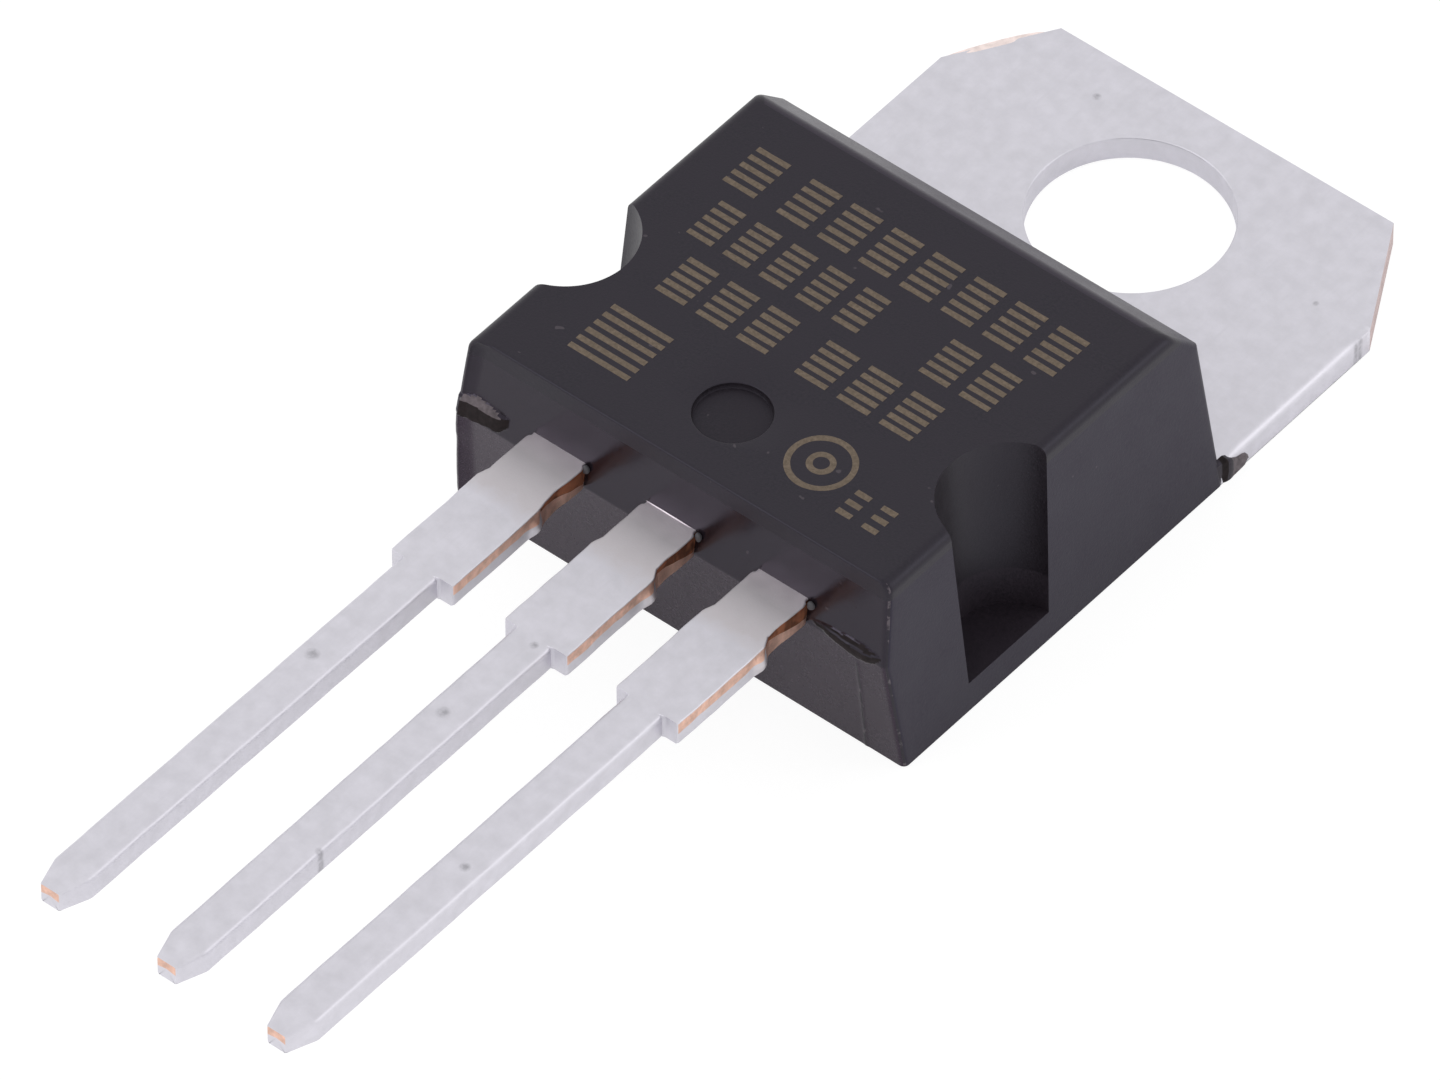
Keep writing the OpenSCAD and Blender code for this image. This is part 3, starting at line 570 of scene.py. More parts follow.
def lead_grid(x0, seed, root, s, end, lean):
    """A lead outside the case: a section carried along -Y through a short table of stations. The neck is
    drawn in where it leaves the case, right and left half-widths waver where the strip was sheared, the
    section is a rectangle with rolled upper edges, and the tip tapers on four sides. A hollow in the neck's
    right side and a nub at each shoulder are bell curves. Lean holds, in millimetres, the neck's extra
    half-width and how far the neck, the wide part, the narrow part and the tip lie beside the lead's
    place. Returns the grid and the paint."""
    n, w, p = s.neck / 2 + lean[0] * MM, s.wide / 2, s.pin / 2
    d1, d2, d3 = s.neck_len, s.neck_len + s.shoulder, s.wide_end
    length = -end - TIP_END
    tip = length - s.tip_len
    closed_in = (STRIP - s.tip_t) / 2
    soft = foot = 0.03 * MM
    # Distance from the case, half-width, roll-over radius, how far the faces close in, sheared or not
    stations = np.array([
        (-root, n - 0.05 * MM, soft, 0, 1), (0, n - 0.05 * MM, soft, 0, 1),
        (0.04 * MM, n - 0.015 * MM, soft, 0, 1), (0.1 * MM, n, soft, 0, 1), (d1, n, soft, 0, 1),
        (d2, w - soft / 2, soft, 0, 1), (d2 + soft * 2, w, soft, 0, 1), (d3 - soft, w, soft, 0, 1),
        (d3, w - soft * 0.6, soft, 0, 1), (d3, p + soft, soft, 0, 0), (d3 + soft, p, s.lead_roll, 0, 0),
        (tip - soft, p, s.lead_roll, 0, 0), (tip + soft, p * 0.98, s.lead_roll * 0.9, 0.002 * MM, 0),
        (length - soft, s.tip_w / 2 + soft, soft * 1.2, closed_in - 0.002 * MM, 0),
        (length, s.tip_w / 2, soft, closed_in, 0)])
    grown, _ = along(stations, [4, 3, 4, 34, 8, 3, 50, 3, 1, 4, 90, 4, 10, 3])
    d, half, roll, close, sheared = grown.T[:, :, None]
    sheared = sheared > 0.5
    uneven = [waver(d, seed + k, 0.006 * MM, 2.5 * MM) * (1 + sheared) for k in (0, 1)]
    hollow = 0.03 * MM * np.exp(-((d - 0.75 * MM) / (0.25 * MM)) ** 2) * sheared
    low, high = LEVEL + close, LEVEL + STRIP - close
    share = np.interp(d, [0, d1, d2, d2 + 0.1 * MM], [0.25, 0.75, 0.82, 0.52])
    share = share + 0.05 * waver(d, seed + 2, 1, 1.5 * MM) * sheared
    middle = low + (high - low) * share
    turn = np.linspace(0, np.pi / 2, 6)[None, :]
    up = np.linspace(0, 1, 4)[None, :]

    def side(wide):
        x = [wide * 0.9 * up, wide - foot, wide + 0 * up, wide + 0 * up[:, 1:],
             wide - roll * (1 - np.cos(turn)), (wide - roll) * 0.96 * (1 - up)]
        z = [low + 0 * up, low, low + foot + (middle - low - foot) * up,
             middle + (high - roll - middle) * up[:, 1:], high - roll + roll * np.sin(turn), high + 0 * up]
        return np.concatenate(x, 1), np.concatenate(z, 1)
    zone = np.repeat([BELOW, LOWER, UPPER, ROLLED, ABOVE], [5, 4, 3, 6, 4])
    (rx, rz), (lx, lz) = side(half + uneven[0] - hollow), side(half + uneven[1])
    x = np.concatenate([rx[:, :-1], -lx[:, :0:-1]], 1)
    z = np.concatenate([rz[:, :-1], lz[:, :0:-1]], 1)
    zone = np.concatenate([zone[:-1], zone[:0:-1]])
    zone = np.maximum(zone, np.roll(zone, -1))
    nub = np.exp(-((d - 1.38 * MM) / (0.15 * MM)) ** 2 - ((z - LEVEL - 0.16 * MM) / (0.15 * MM)) ** 2)
    x = x + np.sign(x) * 0.09 * MM * nub * (np.abs(x) > 0.8 * half) * sheared
    beside = np.interp(d, [d1, d2, d3, d3 + soft, length], np.array(lean)[[1, 2, 2, 3, 4]] * MM)
    grid = capped(stack(x0 + beside + x, -end - d, z))
    paint = np.zeros((len(grid) - 1, grid.shape[1]), int)
    far = d[:-1] + 0.02 * MM
    neck = far < d2
    wide = (far >= d2) & (far < d3)
    bare = (neck & (zone == LOWER) & (nub[:-1] < 0.3)) | (wide & (zone == UPPER))
    # A neck's upper side gets copper darkened as painted shade of the case; its lower side and the wide
    # part's upper side are bare copper
    paint[1:-1] = np.where(neck & (zone == UPPER), SHADED_COPPER, np.where(bare, COPPER, TIN))
    paint[-1] = np.where(zone >= UPPER, COPPER, TIN)
    return grid, paint


def lump_grid(centre, radii, seed, cols=20, rows=11):
    """A small uneven lump: an ellipsoid whose radius wavers with both angles."""
    lat = np.linspace(-np.pi / 2, np.pi / 2, rows)[:, None]
    lon = np.linspace(0, 2 * np.pi, cols, endpoint=False)[None, :]
    swell = 1 + waver(lon / (2 * np.pi), seed, 0.2, 1) * np.cos(lat) + waver(lat, seed + 1, 0.1, 3)
    ball = stack(np.cos(lat) * np.cos(lon), np.cos(lat) * np.sin(lon), np.sin(lat))
    grid = ball * swell[..., None] * np.asarray(radii) + np.asarray(centre)
    grid[[0, -1]] = grid[[0, -1]].mean(1, keepdims=True)
    return grid


def burr_grid(first, last, reach, top, seed):
    """A thin burr along a cut: a flat lump from the point first to the point last, turned in line with the
    cut, as wide as twice its reach and with its crest at the height top."""
    first, last = np.array(first), np.array(last)
    thick = 0.03 * MM
    line = (last - first) / 2
    half = np.linalg.norm(line)
    line = line / half
    lump = lump_grid((0, 0, top - thick), (half, reach, thick), seed, 64)
    flat = (first + last) / 2 + lump[..., :1] * line + lump[..., 1:2] * np.array([-line[1], line[0]])
    return np.concatenate([flat, lump[..., 2:]], -1)


def stroke_grid(path, closed, s, seed):
    """A laser stroke: a low dome, a half circle over a flat foot, carried along a path on the front face.
    Its width wavers by a tenth, and on a closed path its section is mitred at each point."""
    step = np.roll(path, -1, 0) - path if closed else np.gradient(path, axis=0)
    step = step / np.linalg.norm(step, axis=1, keepdims=True)
    stretch = 1
    if closed:
        bend = step + np.roll(step, 1, 0)
        bend = bend / np.linalg.norm(bend, axis=1, keepdims=True)
        stretch = 1 / (bend * step).sum(1, keepdims=True)
        step = bend
    side = np.stack([-step[:, 1], step[:, 0]], 1) * stretch
    run = np.cumsum(np.linalg.norm(np.diff(path, axis=0, prepend=path[:1]), axis=1))
    width = s.stroke / 2 * (1 + waver(run, seed, 0.1, 1.5 * MM))[:, None]
    turn = np.linspace(0, np.pi, 7)
    across = np.concatenate([np.cos(turn), [0]])[None, :] * width
    up = TOP + s.proud * np.concatenate([np.sin(turn), [0]]) - 0.002 * MM
    flat = path[:, None] + side[:, None] * across[..., None]
    rows = stack(flat[..., 0], flat[..., 1], up[None, :])
    return (rows if closed else capped(rows)), 0, closed


# Nodes of the materials
def tree_of(name, base, roughness, metallic=0.0, specular=0.5):
    """A material with its shader set, its node tree, and a point in millimetres from Object coordinates."""
    made = bpy.data.materials.new(name)
    made.use_nodes = True
    tree = made.node_tree
    shader = tree.nodes["Principled BSDF"]
    shader.inputs["Base Color"].default_value = (*base, 1)
    shader.inputs["Roughness"].default_value = roughness
    shader.inputs["Metallic"].default_value = metallic
    shader.inputs["Specular IOR Level"].default_value = specular
    coords = tree.nodes.new("ShaderNodeTexCoord")
    scale = tree.nodes.new("ShaderNodeMapping")
    scale.inputs["Scale"].default_value = (1 / MM, 1 / MM, 1 / MM)
    tree.links.new(coords.outputs["Object"], scale.inputs["Vector"])
    return made, tree, shader, scale.outputs["Vector"]


def noise(tree, point, scale, detail=4.0, rough=0.55, stretch=None):
    """Noise between 0 and 1, with scale features to a millimetre."""
    if stretch:
        squeeze = tree.nodes.new("ShaderNodeMapping")
        squeeze.inputs["Scale"].default_value = stretch
        tree.links.new(point, squeeze.inputs["Vector"])
        point = squeeze.outputs["Vector"]
    node = tree.nodes.new("ShaderNodeTexNoise")
    node.inputs["Scale"].default_value = scale
    node.inputs["Detail"].default_value = detail
    node.inputs["Roughness"].default_value = rough
    tree.links.new(point, node.inputs["Vector"])
    return node.outputs["Fac"]


def spread(tree, value, low, high, to_low=0.0, to_high=1.0):
    """The value between low and high, mapped to to_low and to_high."""
    node = tree.nodes.new("ShaderNodeMapRange")
    node.inputs["From Min"].default_value = low
    node.inputs["From Max"].default_value = high
    node.inputs["To Min"].default_value = to_low
    node.inputs["To Max"].default_value = to_high
    tree.links.new(value, node.inputs["Value"])
    return node.outputs["Result"]


def feed(tree, slot, value):
    """Links an output to a socket, or sets the socket to a colour."""
    if isinstance(value, bpy.types.NodeSocket):
        tree.links.new(value, slot)
    else:
        slot.default_value = (*value, 1)


def blend(tree, share, first, second):
    """A colour between two colours or colour outputs."""
    node = tree.nodes.new("ShaderNodeMix")
    node.data_type = "RGBA"
    tree.links.new(share, node.inputs[0])
    feed(tree, node.inputs[6], first)
    feed(tree, node.inputs[7], second)
    return node.outputs[2]


def mottled(tree, grain, low, high, dark, light):
    """A colour between dark and light, as grain goes from low to high."""
    return blend(tree, spread(tree, grain, low, high), dark, light)


def maths(tree, work, a, b):
    """One sum, product or other function of two outputs."""
    node = tree.nodes.new("ShaderNodeMath")
    node.operation = work
    tree.links.new(a, node.inputs[0])
    tree.links.new(b, node.inputs[1])
    return node.outputs[0]


def shine(tree, a, b, share):
    """One shader or another by share."""
    node = tree.nodes.new("ShaderNodeMixShader")
    for value, slot in zip((share, a, b), node.inputs):
        tree.links.new(value, slot)
    return node.outputs[0]


def bumps(tree, shader, height, strength, depth):
    """Relief from a height between 0 and 1; depth is in millimetres."""
    node = tree.nodes.new("ShaderNodeBump")
    node.inputs["Strength"].default_value = strength
    node.inputs["Distance"].default_value = depth * MM
    tree.links.new(height, node.inputs["Height"])
    tree.links.new(node.outputs["Normal"], shader.inputs["Normal"])


def times(colour, factor):
    """A colour made lighter or darker."""
    return tuple(min(1.0, c * factor) for c in colour)


def spot(tree, point, x, y, radius):
    """1 at a place on the surface, fading to 0 at the radius; the height is left out."""
    shift = tree.nodes.new("ShaderNodeVectorMath")
    shift.operation = "MULTIPLY_ADD"
    tree.links.new(point, shift.inputs[0])
    shift.inputs[1].default_value = (1, 1, 0)
    shift.inputs[2].default_value = (-x, -y, 0)
    length = tree.nodes.new("ShaderNodeVectorMath")
    length.operation = "LENGTH"
    tree.links.new(shift.outputs[0], length.inputs[0])
    return spread(tree, length.outputs["Value"], radius * 0.35, radius, 1, 0)


def resin_finish(look, name, rough, grain_depth, specular=0.38, glints=0.0, lift=1.0,
                 sheen=(0.82, 0.8, 1)):
    """Moulded epoxy: near-black with fine filler grain, a faint mottling, a few tiny pale specks, and a
    skin that is a little glossier in some places than in others. Glints are more pale specks, painted
    highlights along an edge; lift makes the resin lighter, a painted light; and sheen is the colour of
    its reflections."""
    tone = times(look.resin, lift)
    made, tree, shader, point = tree_of(name, tone, rough, specular=specular)
    shader.inputs["Specular Tint"].default_value = (*sheen, 1)
    grain = noise(tree, point, 16, 3, 0.6)
    cloud = noise(tree, point, 0.9, 4, 0.55)
    base = mottled(tree, grain, 0.35, 0.68, times(tone, 0.6), times(tone, 1.5))
    base = mottled(tree, cloud, 0.35, 0.7, base, times(tone, 1.25))
    specks = spread(tree, noise(tree, point, 4.5, 1, 0.5), 0.77, 0.8, 0, 0.35)
    base = blend(tree, specks, base, look.torn)
    # Pale specks along an edge, painted highlights
    if glints:
        specks = spread(tree, noise(tree, point, 4, 3, 0.6), 0.58, 0.64, 0, glints)
        base = blend(tree, specks, base, look.torn)
    tree.links.new(base, shader.inputs["Base Color"])
    worn = spread(tree, cloud, 0.3, 0.7, rough - 0.05, rough + 0.02)
    worn = maths(tree, "ADD", worn, spread(tree, grain, 0.3, 0.7, 0.0, 0.08))
    tree.links.new(worn, shader.inputs["Roughness"])
    fine = noise(tree, point, 28, 2, 0.5)
    bumps(tree, shader, maths(tree, "ADD", grain, fine), 0.35, grain_depth)
    return made


def torn_finish(name, base, roughness):
    """Broken resin: a rough fracture with coarse grain."""
    made, tree, shader, point = tree_of(name, base, roughness, specular=0.25)
    grain = noise(tree, point, 9, 6, 0.65)
    colour = mottled(tree, grain, 0.3, 0.7, times(base, 0.55), times(base, 1.4))
    tree.links.new(colour, shader.inputs["Base Color"])
    bumps(tree, shader, grain, 0.4, 0.02)
    return made


# Where the greyer tone of the necks' tin starts and ends, in millimetres; close to the case it turns
# lighter as a painted light
NECK_TONE_START, NECK_TONE_END = -11.0, -14.3
# Grey spots on the plating: x, y and radius in millimetres
SPOTS = ((2.62, -2.9, 0.13), (-2.3, 1.9, 0.1), (-2.72, -19.2, 0.16), (-0.1, -18.8, 0.15), (0.1, -16.6, 0.1),
         (3.9, 0.4, 0.07), (5.08, 0.1, 0.09), (5.08, 0.22, 0.09), (2.5, -21.3, 0.12), (0.35, -22.6, 0.1))


def tin_finish(look):
    """Matt tin plating: a bright metal with crystal mottling, faint rolling streaks along the strip, a greyer
    tone on the necks that turns lighter close to the case as a painted light, and a few grey spots."""
    made, tree, shader, point = tree_of("matt_tin", look.tin, 0.5, metallic=1.0)
    crystals = noise(tree, point, 3.2, 5, 0.6)
    streaks = noise(tree, point, 5, 3, 0.5, stretch=(2.2, 0.16, 1))
    fine = noise(tree, point, 30, 3, 0.6)
    base = mottled(tree, crystals, 0.32, 0.7, times(look.tin, 0.94), times(look.tin, 1.06))
    base = blend(tree, spread(tree, streaks, 0.55, 0.8, 0, 0.4), base, times(look.tin, 0.93))
    split = tree.nodes.new("ShaderNodeSeparateXYZ")
    tree.links.new(point, split.inputs[0])
    along_y = split.outputs["Y"]
    ragged = spread(tree, noise(tree, point, 1.6, 4, 0.6), 0.3, 0.7, -0.25, 0.25)
    film = spread(tree, maths(tree, "ADD", along_y, ragged), NECK_TONE_END - 0.2, NECK_TONE_END + 0.2)
    film = maths(tree, "MULTIPLY", film, spread(tree, along_y, NECK_TONE_START, NECK_TONE_START + 0.5, 1, 0))
    # Greyer on the necks, and lighter close to the case as a painted light
    greyer, brighter = (tuple(c * k for c, k in zip(look.tin, tint))
                        for tint in ((0.93, 0.9, 0.87), (1.25, 1.18, 1.16)))
    base = blend(tree, film, base, mottled(tree, along_y, -13.25, -12.8, greyer, brighter))
    marks = None
    for x, y, radius in SPOTS:
        mask = spot(tree, point, x, y, radius)
        marks = mask if marks is None else maths(tree, "MAXIMUM", marks, mask)
    marks = maths(tree, "MULTIPLY", marks, spread(tree, noise(tree, point, 9, 4, 0.6), 0.35, 0.6, 0.25, 0.75))
    base = blend(tree, marks, base, times(look.tin, 0.5))
    tree.links.new(base, shader.inputs["Base Color"])
    tree.links.new(spread(tree, crystals, 0.3, 0.72, 0.46, 0.56), shader.inputs["Roughness"])
    bumps(tree, shader, maths(tree, "ADD", fine, crystals), 0.3, 0.006)
    return made


def copper_finish(name, base, roughness, dark_patches=0.0):
    """Bare copper at a sheared face: fine upright shear lines and uneven tarnish, and, with the last argument
    above zero, also near-black patches, which are used in the copper darkened as painted shade."""
    made, tree, shader, point = tree_of(name, base, roughness, metallic=0.9)
    tarnish = noise(tree, point, 6, 5, 0.6)
    lines = noise(tree, point, 7, 3, 0.6, stretch=(2.5, 2.5, 0.3))
    colour = mottled(tree, tarnish, 0.3, 0.7, times(base, 0.72), times(base, 1.15))
    if dark_patches:
        patches = spread(tree, noise(tree, point, 2.6, 2, 0.5), 0.5, 0.6, 0, dark_patches)
        colour = blend(tree, patches, colour, times(base, 0.12))
    colour = blend(tree, spread(tree, lines, 0.5, 0.75, 0, 0.5), colour, times(base, 0.8))
    tree.links.new(colour, shader.inputs["Base Color"])
    bumps(tree, shader, lines, 0.5, 0.01)
    return made


def laser_finish(look):
    """Laser-foamed resin: tan, grainy and dull, with darker specks where the beam missed."""
    made, tree, shader, point = tree_of("laser_field", look.laser, 0.75, specular=0.2)
    grain = noise(tree, point, 14, 5, 0.65)
    wide = noise(tree, point, 2.5, 3, 0.5)
    colour = mottled(tree, grain, 0.3, 0.72, times(look.laser, 0.62), times(look.laser, 1.25))
    colour = blend(tree, spread(tree, wide, 0.4, 0.7, 0, 0.5), colour, times(look.laser, 0.8))
    tree.links.new(colour, shader.inputs["Base Color"])
    bumps(tree, shader, grain, 0.6, 0.01)
    return made


def inner_finish(name, base, roughness, metallic, scale):
    """A plain finish for sealed and small pieces: its colour with a fine mottling and a slight relief."""
    made, tree, shader, point = tree_of(name, base, roughness, metallic)
    grain = noise(tree, point, scale, 4, 0.6)
    colour = mottled(tree, grain, 0.3, 0.7, times(base, 0.85), times(base, 1.12))
    tree.links.new(colour, shader.inputs["Base Color"])
    bumps(tree, shader, grain, 0.3, 0.005)
    return made


class REGULATOR_OT_stage(bpy.types.Operator):
    """Make the floor, the surroundings, the two lamps and the camera."""

    bl_idname = "regulator.stage"
    bl_label = "Stage"

    # The camera that was fitted to the photograph: its place in metres and its axes as columns
    CAMERA_AT = (0.15181294, -0.19420497, 0.25766119)
    CAMERA_AXES = ((0.770167, -0.466906, 0.434559), (0.637841, 0.565244, -0.523123),
                   (-0.001382, 0.680072, 0.733144))
    FLOOR_REACH = 0.6
    LAMP_AWAY = 0.3

    def execute(self, context):
        levels = context.scene.regulator_levels
        scene = context.scene
        mesh = bpy.data.meshes.new("floor")
        reach, low = self.FLOOR_REACH, -0.02 * MM
        corners = [(-reach, -reach, low), (reach, -reach, low), (reach, reach, low), (-reach, reach, low)]
        mesh.from_pydata(corners, [], [(0, 1, 2, 3)])
        floor = bpy.data.objects.new("floor", mesh)
        scene.collection.objects.link(floor)
        mesh.materials.append(self.white_floor())
        scene.world = bpy.data.worlds.new("white_surroundings")
        scene.world.use_nodes = True
        self.white_world(scene.world.node_tree, levels.sky)
        for name, power, width, turn, fall in (("side_lamp", levels.side_lamp, 0.12, 36, 66),
                                               ("front_lamp", levels.front_lamp, 0.2, 237, 52)):
            lamp = bpy.data.lights.new(name, "AREA")
            lamp.energy = power
            lamp.shape = "DISK"
            lamp.size = width
            light = bpy.data.objects.new(name, lamp)
            scene.collection.objects.link(light)
            aim = Matrix.Rotation(math.radians(turn), 4, "Z") @ Matrix.Rotation(math.radians(fall), 4, "Y")
            light.matrix_world = aim @ Matrix.Translation((0, 0, self.LAMP_AWAY))
        camera = bpy.data.cameras.new("photo_view")
        camera.sensor_width, camera.lens = 36, 500
        camera.clip_start, camera.clip_end = 0.05, 10
        view = bpy.data.objects.new("photo_view", camera)
        scene.collection.objects.link(view)
        view.matrix_world = Matrix.Translation(self.CAMERA_AT) @ Matrix(self.CAMERA_AXES).to_4x4()
        scene.camera = view
        scene.view_settings.view_transform = "Standard"
        return {"FINISHED"}

    def mirrored(self, tree):
        """Light Path's outputs: 1 for camera rays, and 1 for rays of reflections and glass."""
        path = tree.nodes.new("ShaderNodeLightPath").outputs
        other = maths(tree, "MAXIMUM", path["Is Glossy Ray"], path["Is Transmission Ray"])
        return path["Is Camera Ray"], other

    def white_floor(self):
        """A pale floor that shows white and still takes a faint shadow."""
        made = bpy.data.materials.new("pale_floor")
        made.use_nodes = True
        tree = made.node_tree
        tree.nodes.remove(tree.nodes["Principled BSDF"])
        plain = tree.nodes.new("ShaderNodeBsdfDiffuse")
        plain.inputs["Color"].default_value = (0.8, 0.8, 0.8, 1)
        seen, mirrored = self.mirrored(tree)
        inner = shine(tree, plain.outputs[0], self.lit_white(tree, 0.9, 0.3), mirrored)
        shown = shine(tree, inner, self.lit_white(tree, 0.16, 0.9), seen)
        tree.links.new(shown, tree.nodes["Material Output"].inputs["Surface"])
        return made

    def lit_white(self, tree, grey, strength):
        """A floor that takes some light and shadow, and adds a white of its own."""
        lit = tree.nodes.new("ShaderNodeBsdfDiffuse")
        lit.inputs["Color"].default_value = (grey, grey, grey, 1)
        glow = tree.nodes.new("ShaderNodeEmission")
        glow.inputs["Strength"].default_value = strength
        both = tree.nodes.new("ShaderNodeAddShader")
        tree.links.new(lit.outputs[0], both.inputs[0])
        tree.links.new(glow.outputs[0], both.inputs[1])
        return both.outputs[0]

    def white_world(self, tree, sky):
        """White to the camera and in reflections, and an even soft light elsewhere."""
        light, white = tree.nodes["Background"], tree.nodes.new("ShaderNodeBackground")
        for node, strength in ((light, sky), (white, 1.0)):
            node.inputs["Color"].default_value = (1, 1, 1, 1)
            node.inputs["Strength"].default_value = strength
        seen = maths(tree, "MAXIMUM", *self.mirrored(tree))
        shown = shine(tree, light.outputs[0], white.outputs[0], seen)
        tree.links.new(shown, tree.nodes["World Output"].inputs["Surface"])


class REGULATOR_OT_case(bpy.types.Operator):
    """Make the moulded case with its ears and torn flash."""

    bl_idname = "regulator.case"
    bl_label = "Moulded case"

    def execute(self, context):
        s, look = context.scene.regulator_case, context.scene.regulator_look
        # The pale torn resin in this line is broken resin, partly painted light on the up-facing flash facet
        finishes = [resin_finish(look, "epoxy_skin", 0.4, 0.006), torn_finish("torn_resin", look.torn, 0.6),
                    # Dark rough torn resin, which also paints the shade under and over the flash and in the
                    # slit beside each ear
                    torn_finish("shaded_resin", (0.016, 0.0115, 0.0125), 0.9),
                    resin_finish(look, "epoxy_polished", 0.17, 0.001, 0.37, sheen=(0.84, 0.76, 1)),
                    # Resin with pale specks, painted glints along an edge
                    resin_finish(look, "epoxy_painted_glints", 0.4, 0.006, glints=0.8),
                    resin_finish(look, "epoxy_mark_floor", 0.5, 0.008, 0.31),
                    # Resin lifted to a lighter tone, painted light in the notch floors and on the ears
                    resin_finish(look, "epoxy_painted_light", 0.5, 0.008, lift=1.7),
                    # This copy and the next two differ from the skin in the colour of their reflections, and
                    # the chamfer's also in their strength: a painted sheen for the lower end, the sides and
                    # the chamfer
                    resin_finish(look, "epoxy_lower_end_painted_sheen", 0.24, 0.001, sheen=(0.88, 0.6, 1)),
                    resin_finish(look, "epoxy_side_painted_sheen", 0.4, 0.006, sheen=(0.62, 0.56, 0.98)),
                    resin_finish(look, "epoxy_chamfer_painted_sheen", 0.4, 0.006, 0.54, sheen=(0.83, 0.74, 1))]
        ears = [(*ear_grid(side), False) for side in (-1, 1)]
        case = piece("case", [(*case_grid(s), False), *ears], finishes)
        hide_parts("moulded_case")
        return {"FINISHED"}


class REGULATOR_OT_strip(bpy.types.Operator):
    """Make the tab with the middle lead, and the two outer leads."""

    bl_idname = "regulator.strip"
    bl_label = "Tab and leads"

    # The small errors of the left, middle and right leads, as lead_grid takes them
    LEANS = {-1: (0.03, -0.025, -0.035, -0.08, -0.13), 0: (0, -0.02, 0, -0.045, -0.045),
             1: (0, -0.05, -0.04, -0.085, -0.125)}

    def execute(self, context):
        s, look = context.scene.regulator_strip, context.scene.regulator_look
        end = context.scene.regulator_case.end
        finishes = [tin_finish(look), copper_finish("bare_copper", look.copper, 0.42),
                    # Copper darkened as a painted shade of the case, with near-black patches
                    copper_finish("copper_in_painted_shade", times(look.copper_in_painted_shade, 1.6), 0.5, dark_patches=0.7),
                    inner_finish("grey_flash", (0.07, 0.067, 0.075), 0.8, 0.0, 12),
                    copper_finish("plated_cut", (0.56, 0.44, 0.43), 0.5),
                    inner_finish("pale_burr", (0.88, 0.76, 0.73), 0.5, 0.9, 6)]
        crumb, ridge = np.array([0.075, 0.06, 0.095]) * MM, np.array([0.5, 0.014, 0.014]) * MM
        crumbs = {x: lump_grid((x + 0.615 * MM, -end + 0.02 * MM, LEVEL + STRIP * 0.86), crumb, 70 + k)
                  for k, x in enumerate((-PITCH, 0, PITCH))}
        lip = lump_grid((-0.05 * MM, -end + 0.065 * MM, LEVEL + STRIP), ridge, 74)
        w, e = TAB_HIGH.x, TAB_HIGH.y
        burr = burr_grid((0.04 * MM - w, e - s.cut_l_along + 0.06 * MM),
                         (s.cut_l - w - 0.1 * MM, e - 0.16 * MM), 0.11 * MM, STRIP + 0.003 * MM, 84)
        middle = lead_grid(0.0, 50, s.root * 0.9, s, end, self.LEANS[0])
        made = piece("tab_and_middle_lead", [(*tab_grid(s), True), (bend_grid(s, end), TIN, False),
                                             (*middle, False), (burr, BURR, False), (crumbs[0], GREY, False),
                                             (lip, TIN, False)], finishes)
        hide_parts("tab_with_centre_lead")
        for node, name, side, seed in (("input_lead", "left_lead", -1, 54),
                                       ("output_lead", "right_lead", 1, 58)):
            x = side * PITCH
            lead = lead_grid(x, seed, s.root, s, end, self.LEANS[side])
            made = piece(name, [(*lead, False), (self.post(x, s, end), TIN, True),
                                (crumbs[x], GREY, False)], finishes)
            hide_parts(node)
        return {"FINISHED"}

    def post(self, x, s, end):
        """The bond post at the inner end of an outer lead, with its resin lock hole."""
        start, w = s.root - end, s.post_w / 2
        outline = [(x - w, start), (x + w, start), (x + w, POST_END), (x - w, POST_END), (x - w, start)]
        return plate_grid(outline, outline, [16] * 4, [0] * 4, 0.0, LEVEL, (x, start + s.lock_r * 1.7),
                          s.lock_r, 0.02 * MM)[0]


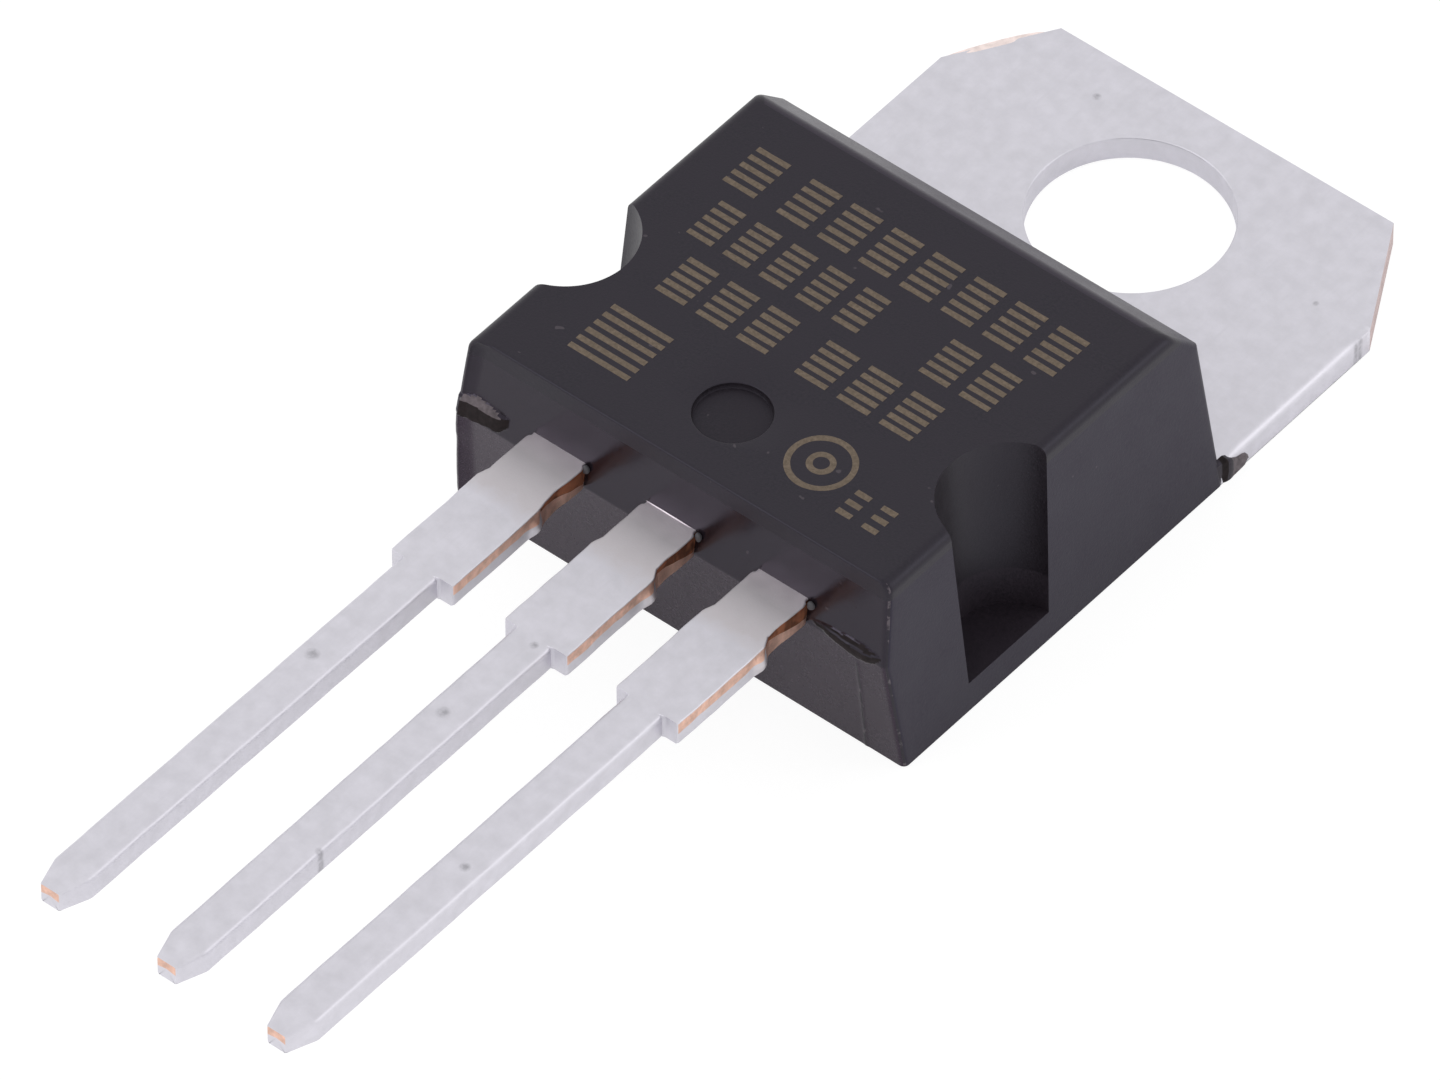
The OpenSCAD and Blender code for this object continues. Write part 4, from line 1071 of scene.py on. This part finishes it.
class REGULATOR_OT_fields(bpy.types.Operator):
    """Make the plain laser fields on the front face."""

    bl_idname = "regulator.fields"
    bl_label = "Laser fields"

    # Hatched fields in millimetres: left, lower, right and upper edge, tiles in a row, strokes in a tile
    FIELDS = ((-3.72, -6.9, -3.0, -5.85, 1, 5), (-2.5, -6.9, 3.75, -5.85, 7, 5),
              (-3.4, -8.28, 0.45, -7.28, 5, 5), (1.85, -8.28, 3.4, -7.28, 2, 5),
              (-2.95, -9.68, -0.45, -8.68, 3, 5), (0.2, -9.68, 2.8, -8.68, 3, 5),
              (-3.25, -11.7, -1.9, -10.4, 1, 6), (2.85, -11.78, 3.75, -11.12, 2, 3))
    GAP = 0.26  # between tiles
    RING = (1.95, -11.05, 0.6)  # the middle and the larger radius of the two rings

    def execute(self, context):
        s, look = context.scene.regulator_fields, context.scene.regulator_look
        shells = []
        half = s.stroke / 2 / MM
        for k, (x0, y0, x1, y1, tiles, strokes) in enumerate(self.FIELDS):
            wide = (x1 - x0 - self.GAP * (tiles - 1)) / tiles
            for tile in range(tiles):
                across = np.linspace(0, wide, 6) + x0 + tile * (wide + self.GAP)
                for y in np.linspace(y0 + half, y1 - half, strokes):
                    path = np.stack([across, np.full(6, y)], 1) * MM
                    shells.append(stroke_grid(path, False, s, 100 * k + tile))
        x, y, r = self.RING
        turn = np.linspace(0, 2 * np.pi, 72, endpoint=False)
        for radius in (r, r * 0.35):
            ring = np.stack([x + radius * np.cos(turn), y + radius * np.sin(turn)], 1) * MM
            shells.append(stroke_grid(ring, True, s, 99))
        made = piece("laser_fields", shells, [laser_finish(look)])
        return {"FINISHED"}


class REGULATOR_OT_inside(bpy.types.Operator):
    """Give the sealed inner pieces their finishes."""

    bl_idname = "regulator.inside"
    bl_label = "Inner pieces"

    def execute(self, context):
        silicon = inner_finish("silicon_face", (0.09, 0.1, 0.13), 0.2, 0.2, 6)
        solder = inner_finish("solder_face", (0.42, 0.42, 0.44), 0.45, 1.0, 9)
        wire = inner_finish("drawn_wire", (0.78, 0.78, 0.8), 0.3, 1.0, 12)
        for node, finish in (("silicon_die", silicon), ("die_attach", solder), ("input_wire", wire),
                             ("output_wire", wire), ("ground_wire", wire)):
            for slot in frame["nodes"][node].material_slots:
                slot.material = finish
        return {"FINISHED"}


class REGULATOR_PT_panel(bpy.types.Panel):
    """Lists the steps that make the regulator."""

    bl_label = "Voltage regulator"
    bl_idname = "REGULATOR_PT_panel"
    bl_space_type = "VIEW_3D"
    bl_region_type = "UI"
    bl_category = "Regulator"

    def draw(self, context):
        for step in STEPS:
            self.layout.operator(step.bl_idname)


STEPS = (REGULATOR_OT_stage, REGULATOR_OT_case, REGULATOR_OT_strip, REGULATOR_OT_fields,
         REGULATOR_OT_inside)
GROUPS = {"regulator_case": CaseSizes, "regulator_strip": StripSizes, "regulator_fields": FieldSizes,
          "regulator_look": Finish, "regulator_levels": StageLevels}


def register():
    """Registers the classes and puts the settings on the scene."""
    for kind in (*GROUPS.values(), *STEPS, REGULATOR_PT_panel):
        bpy.utils.register_class(kind)
    for name, kind in GROUPS.items():
        setattr(bpy.types.Scene, name, bpy.props.PointerProperty(type=kind))


def unregister():
    """Takes the settings and the classes away again."""
    for name in GROUPS:
        delattr(bpy.types.Scene, name)
    for kind in (REGULATOR_PT_panel, *STEPS, *GROUPS.values()):
        bpy.utils.unregister_class(kind)


def main():
    register()
    for step in STEPS:
        space, name = step.bl_idname.split(".")
        getattr(getattr(bpy.ops, space), name)()


if __name__ == "__main__":
    main()
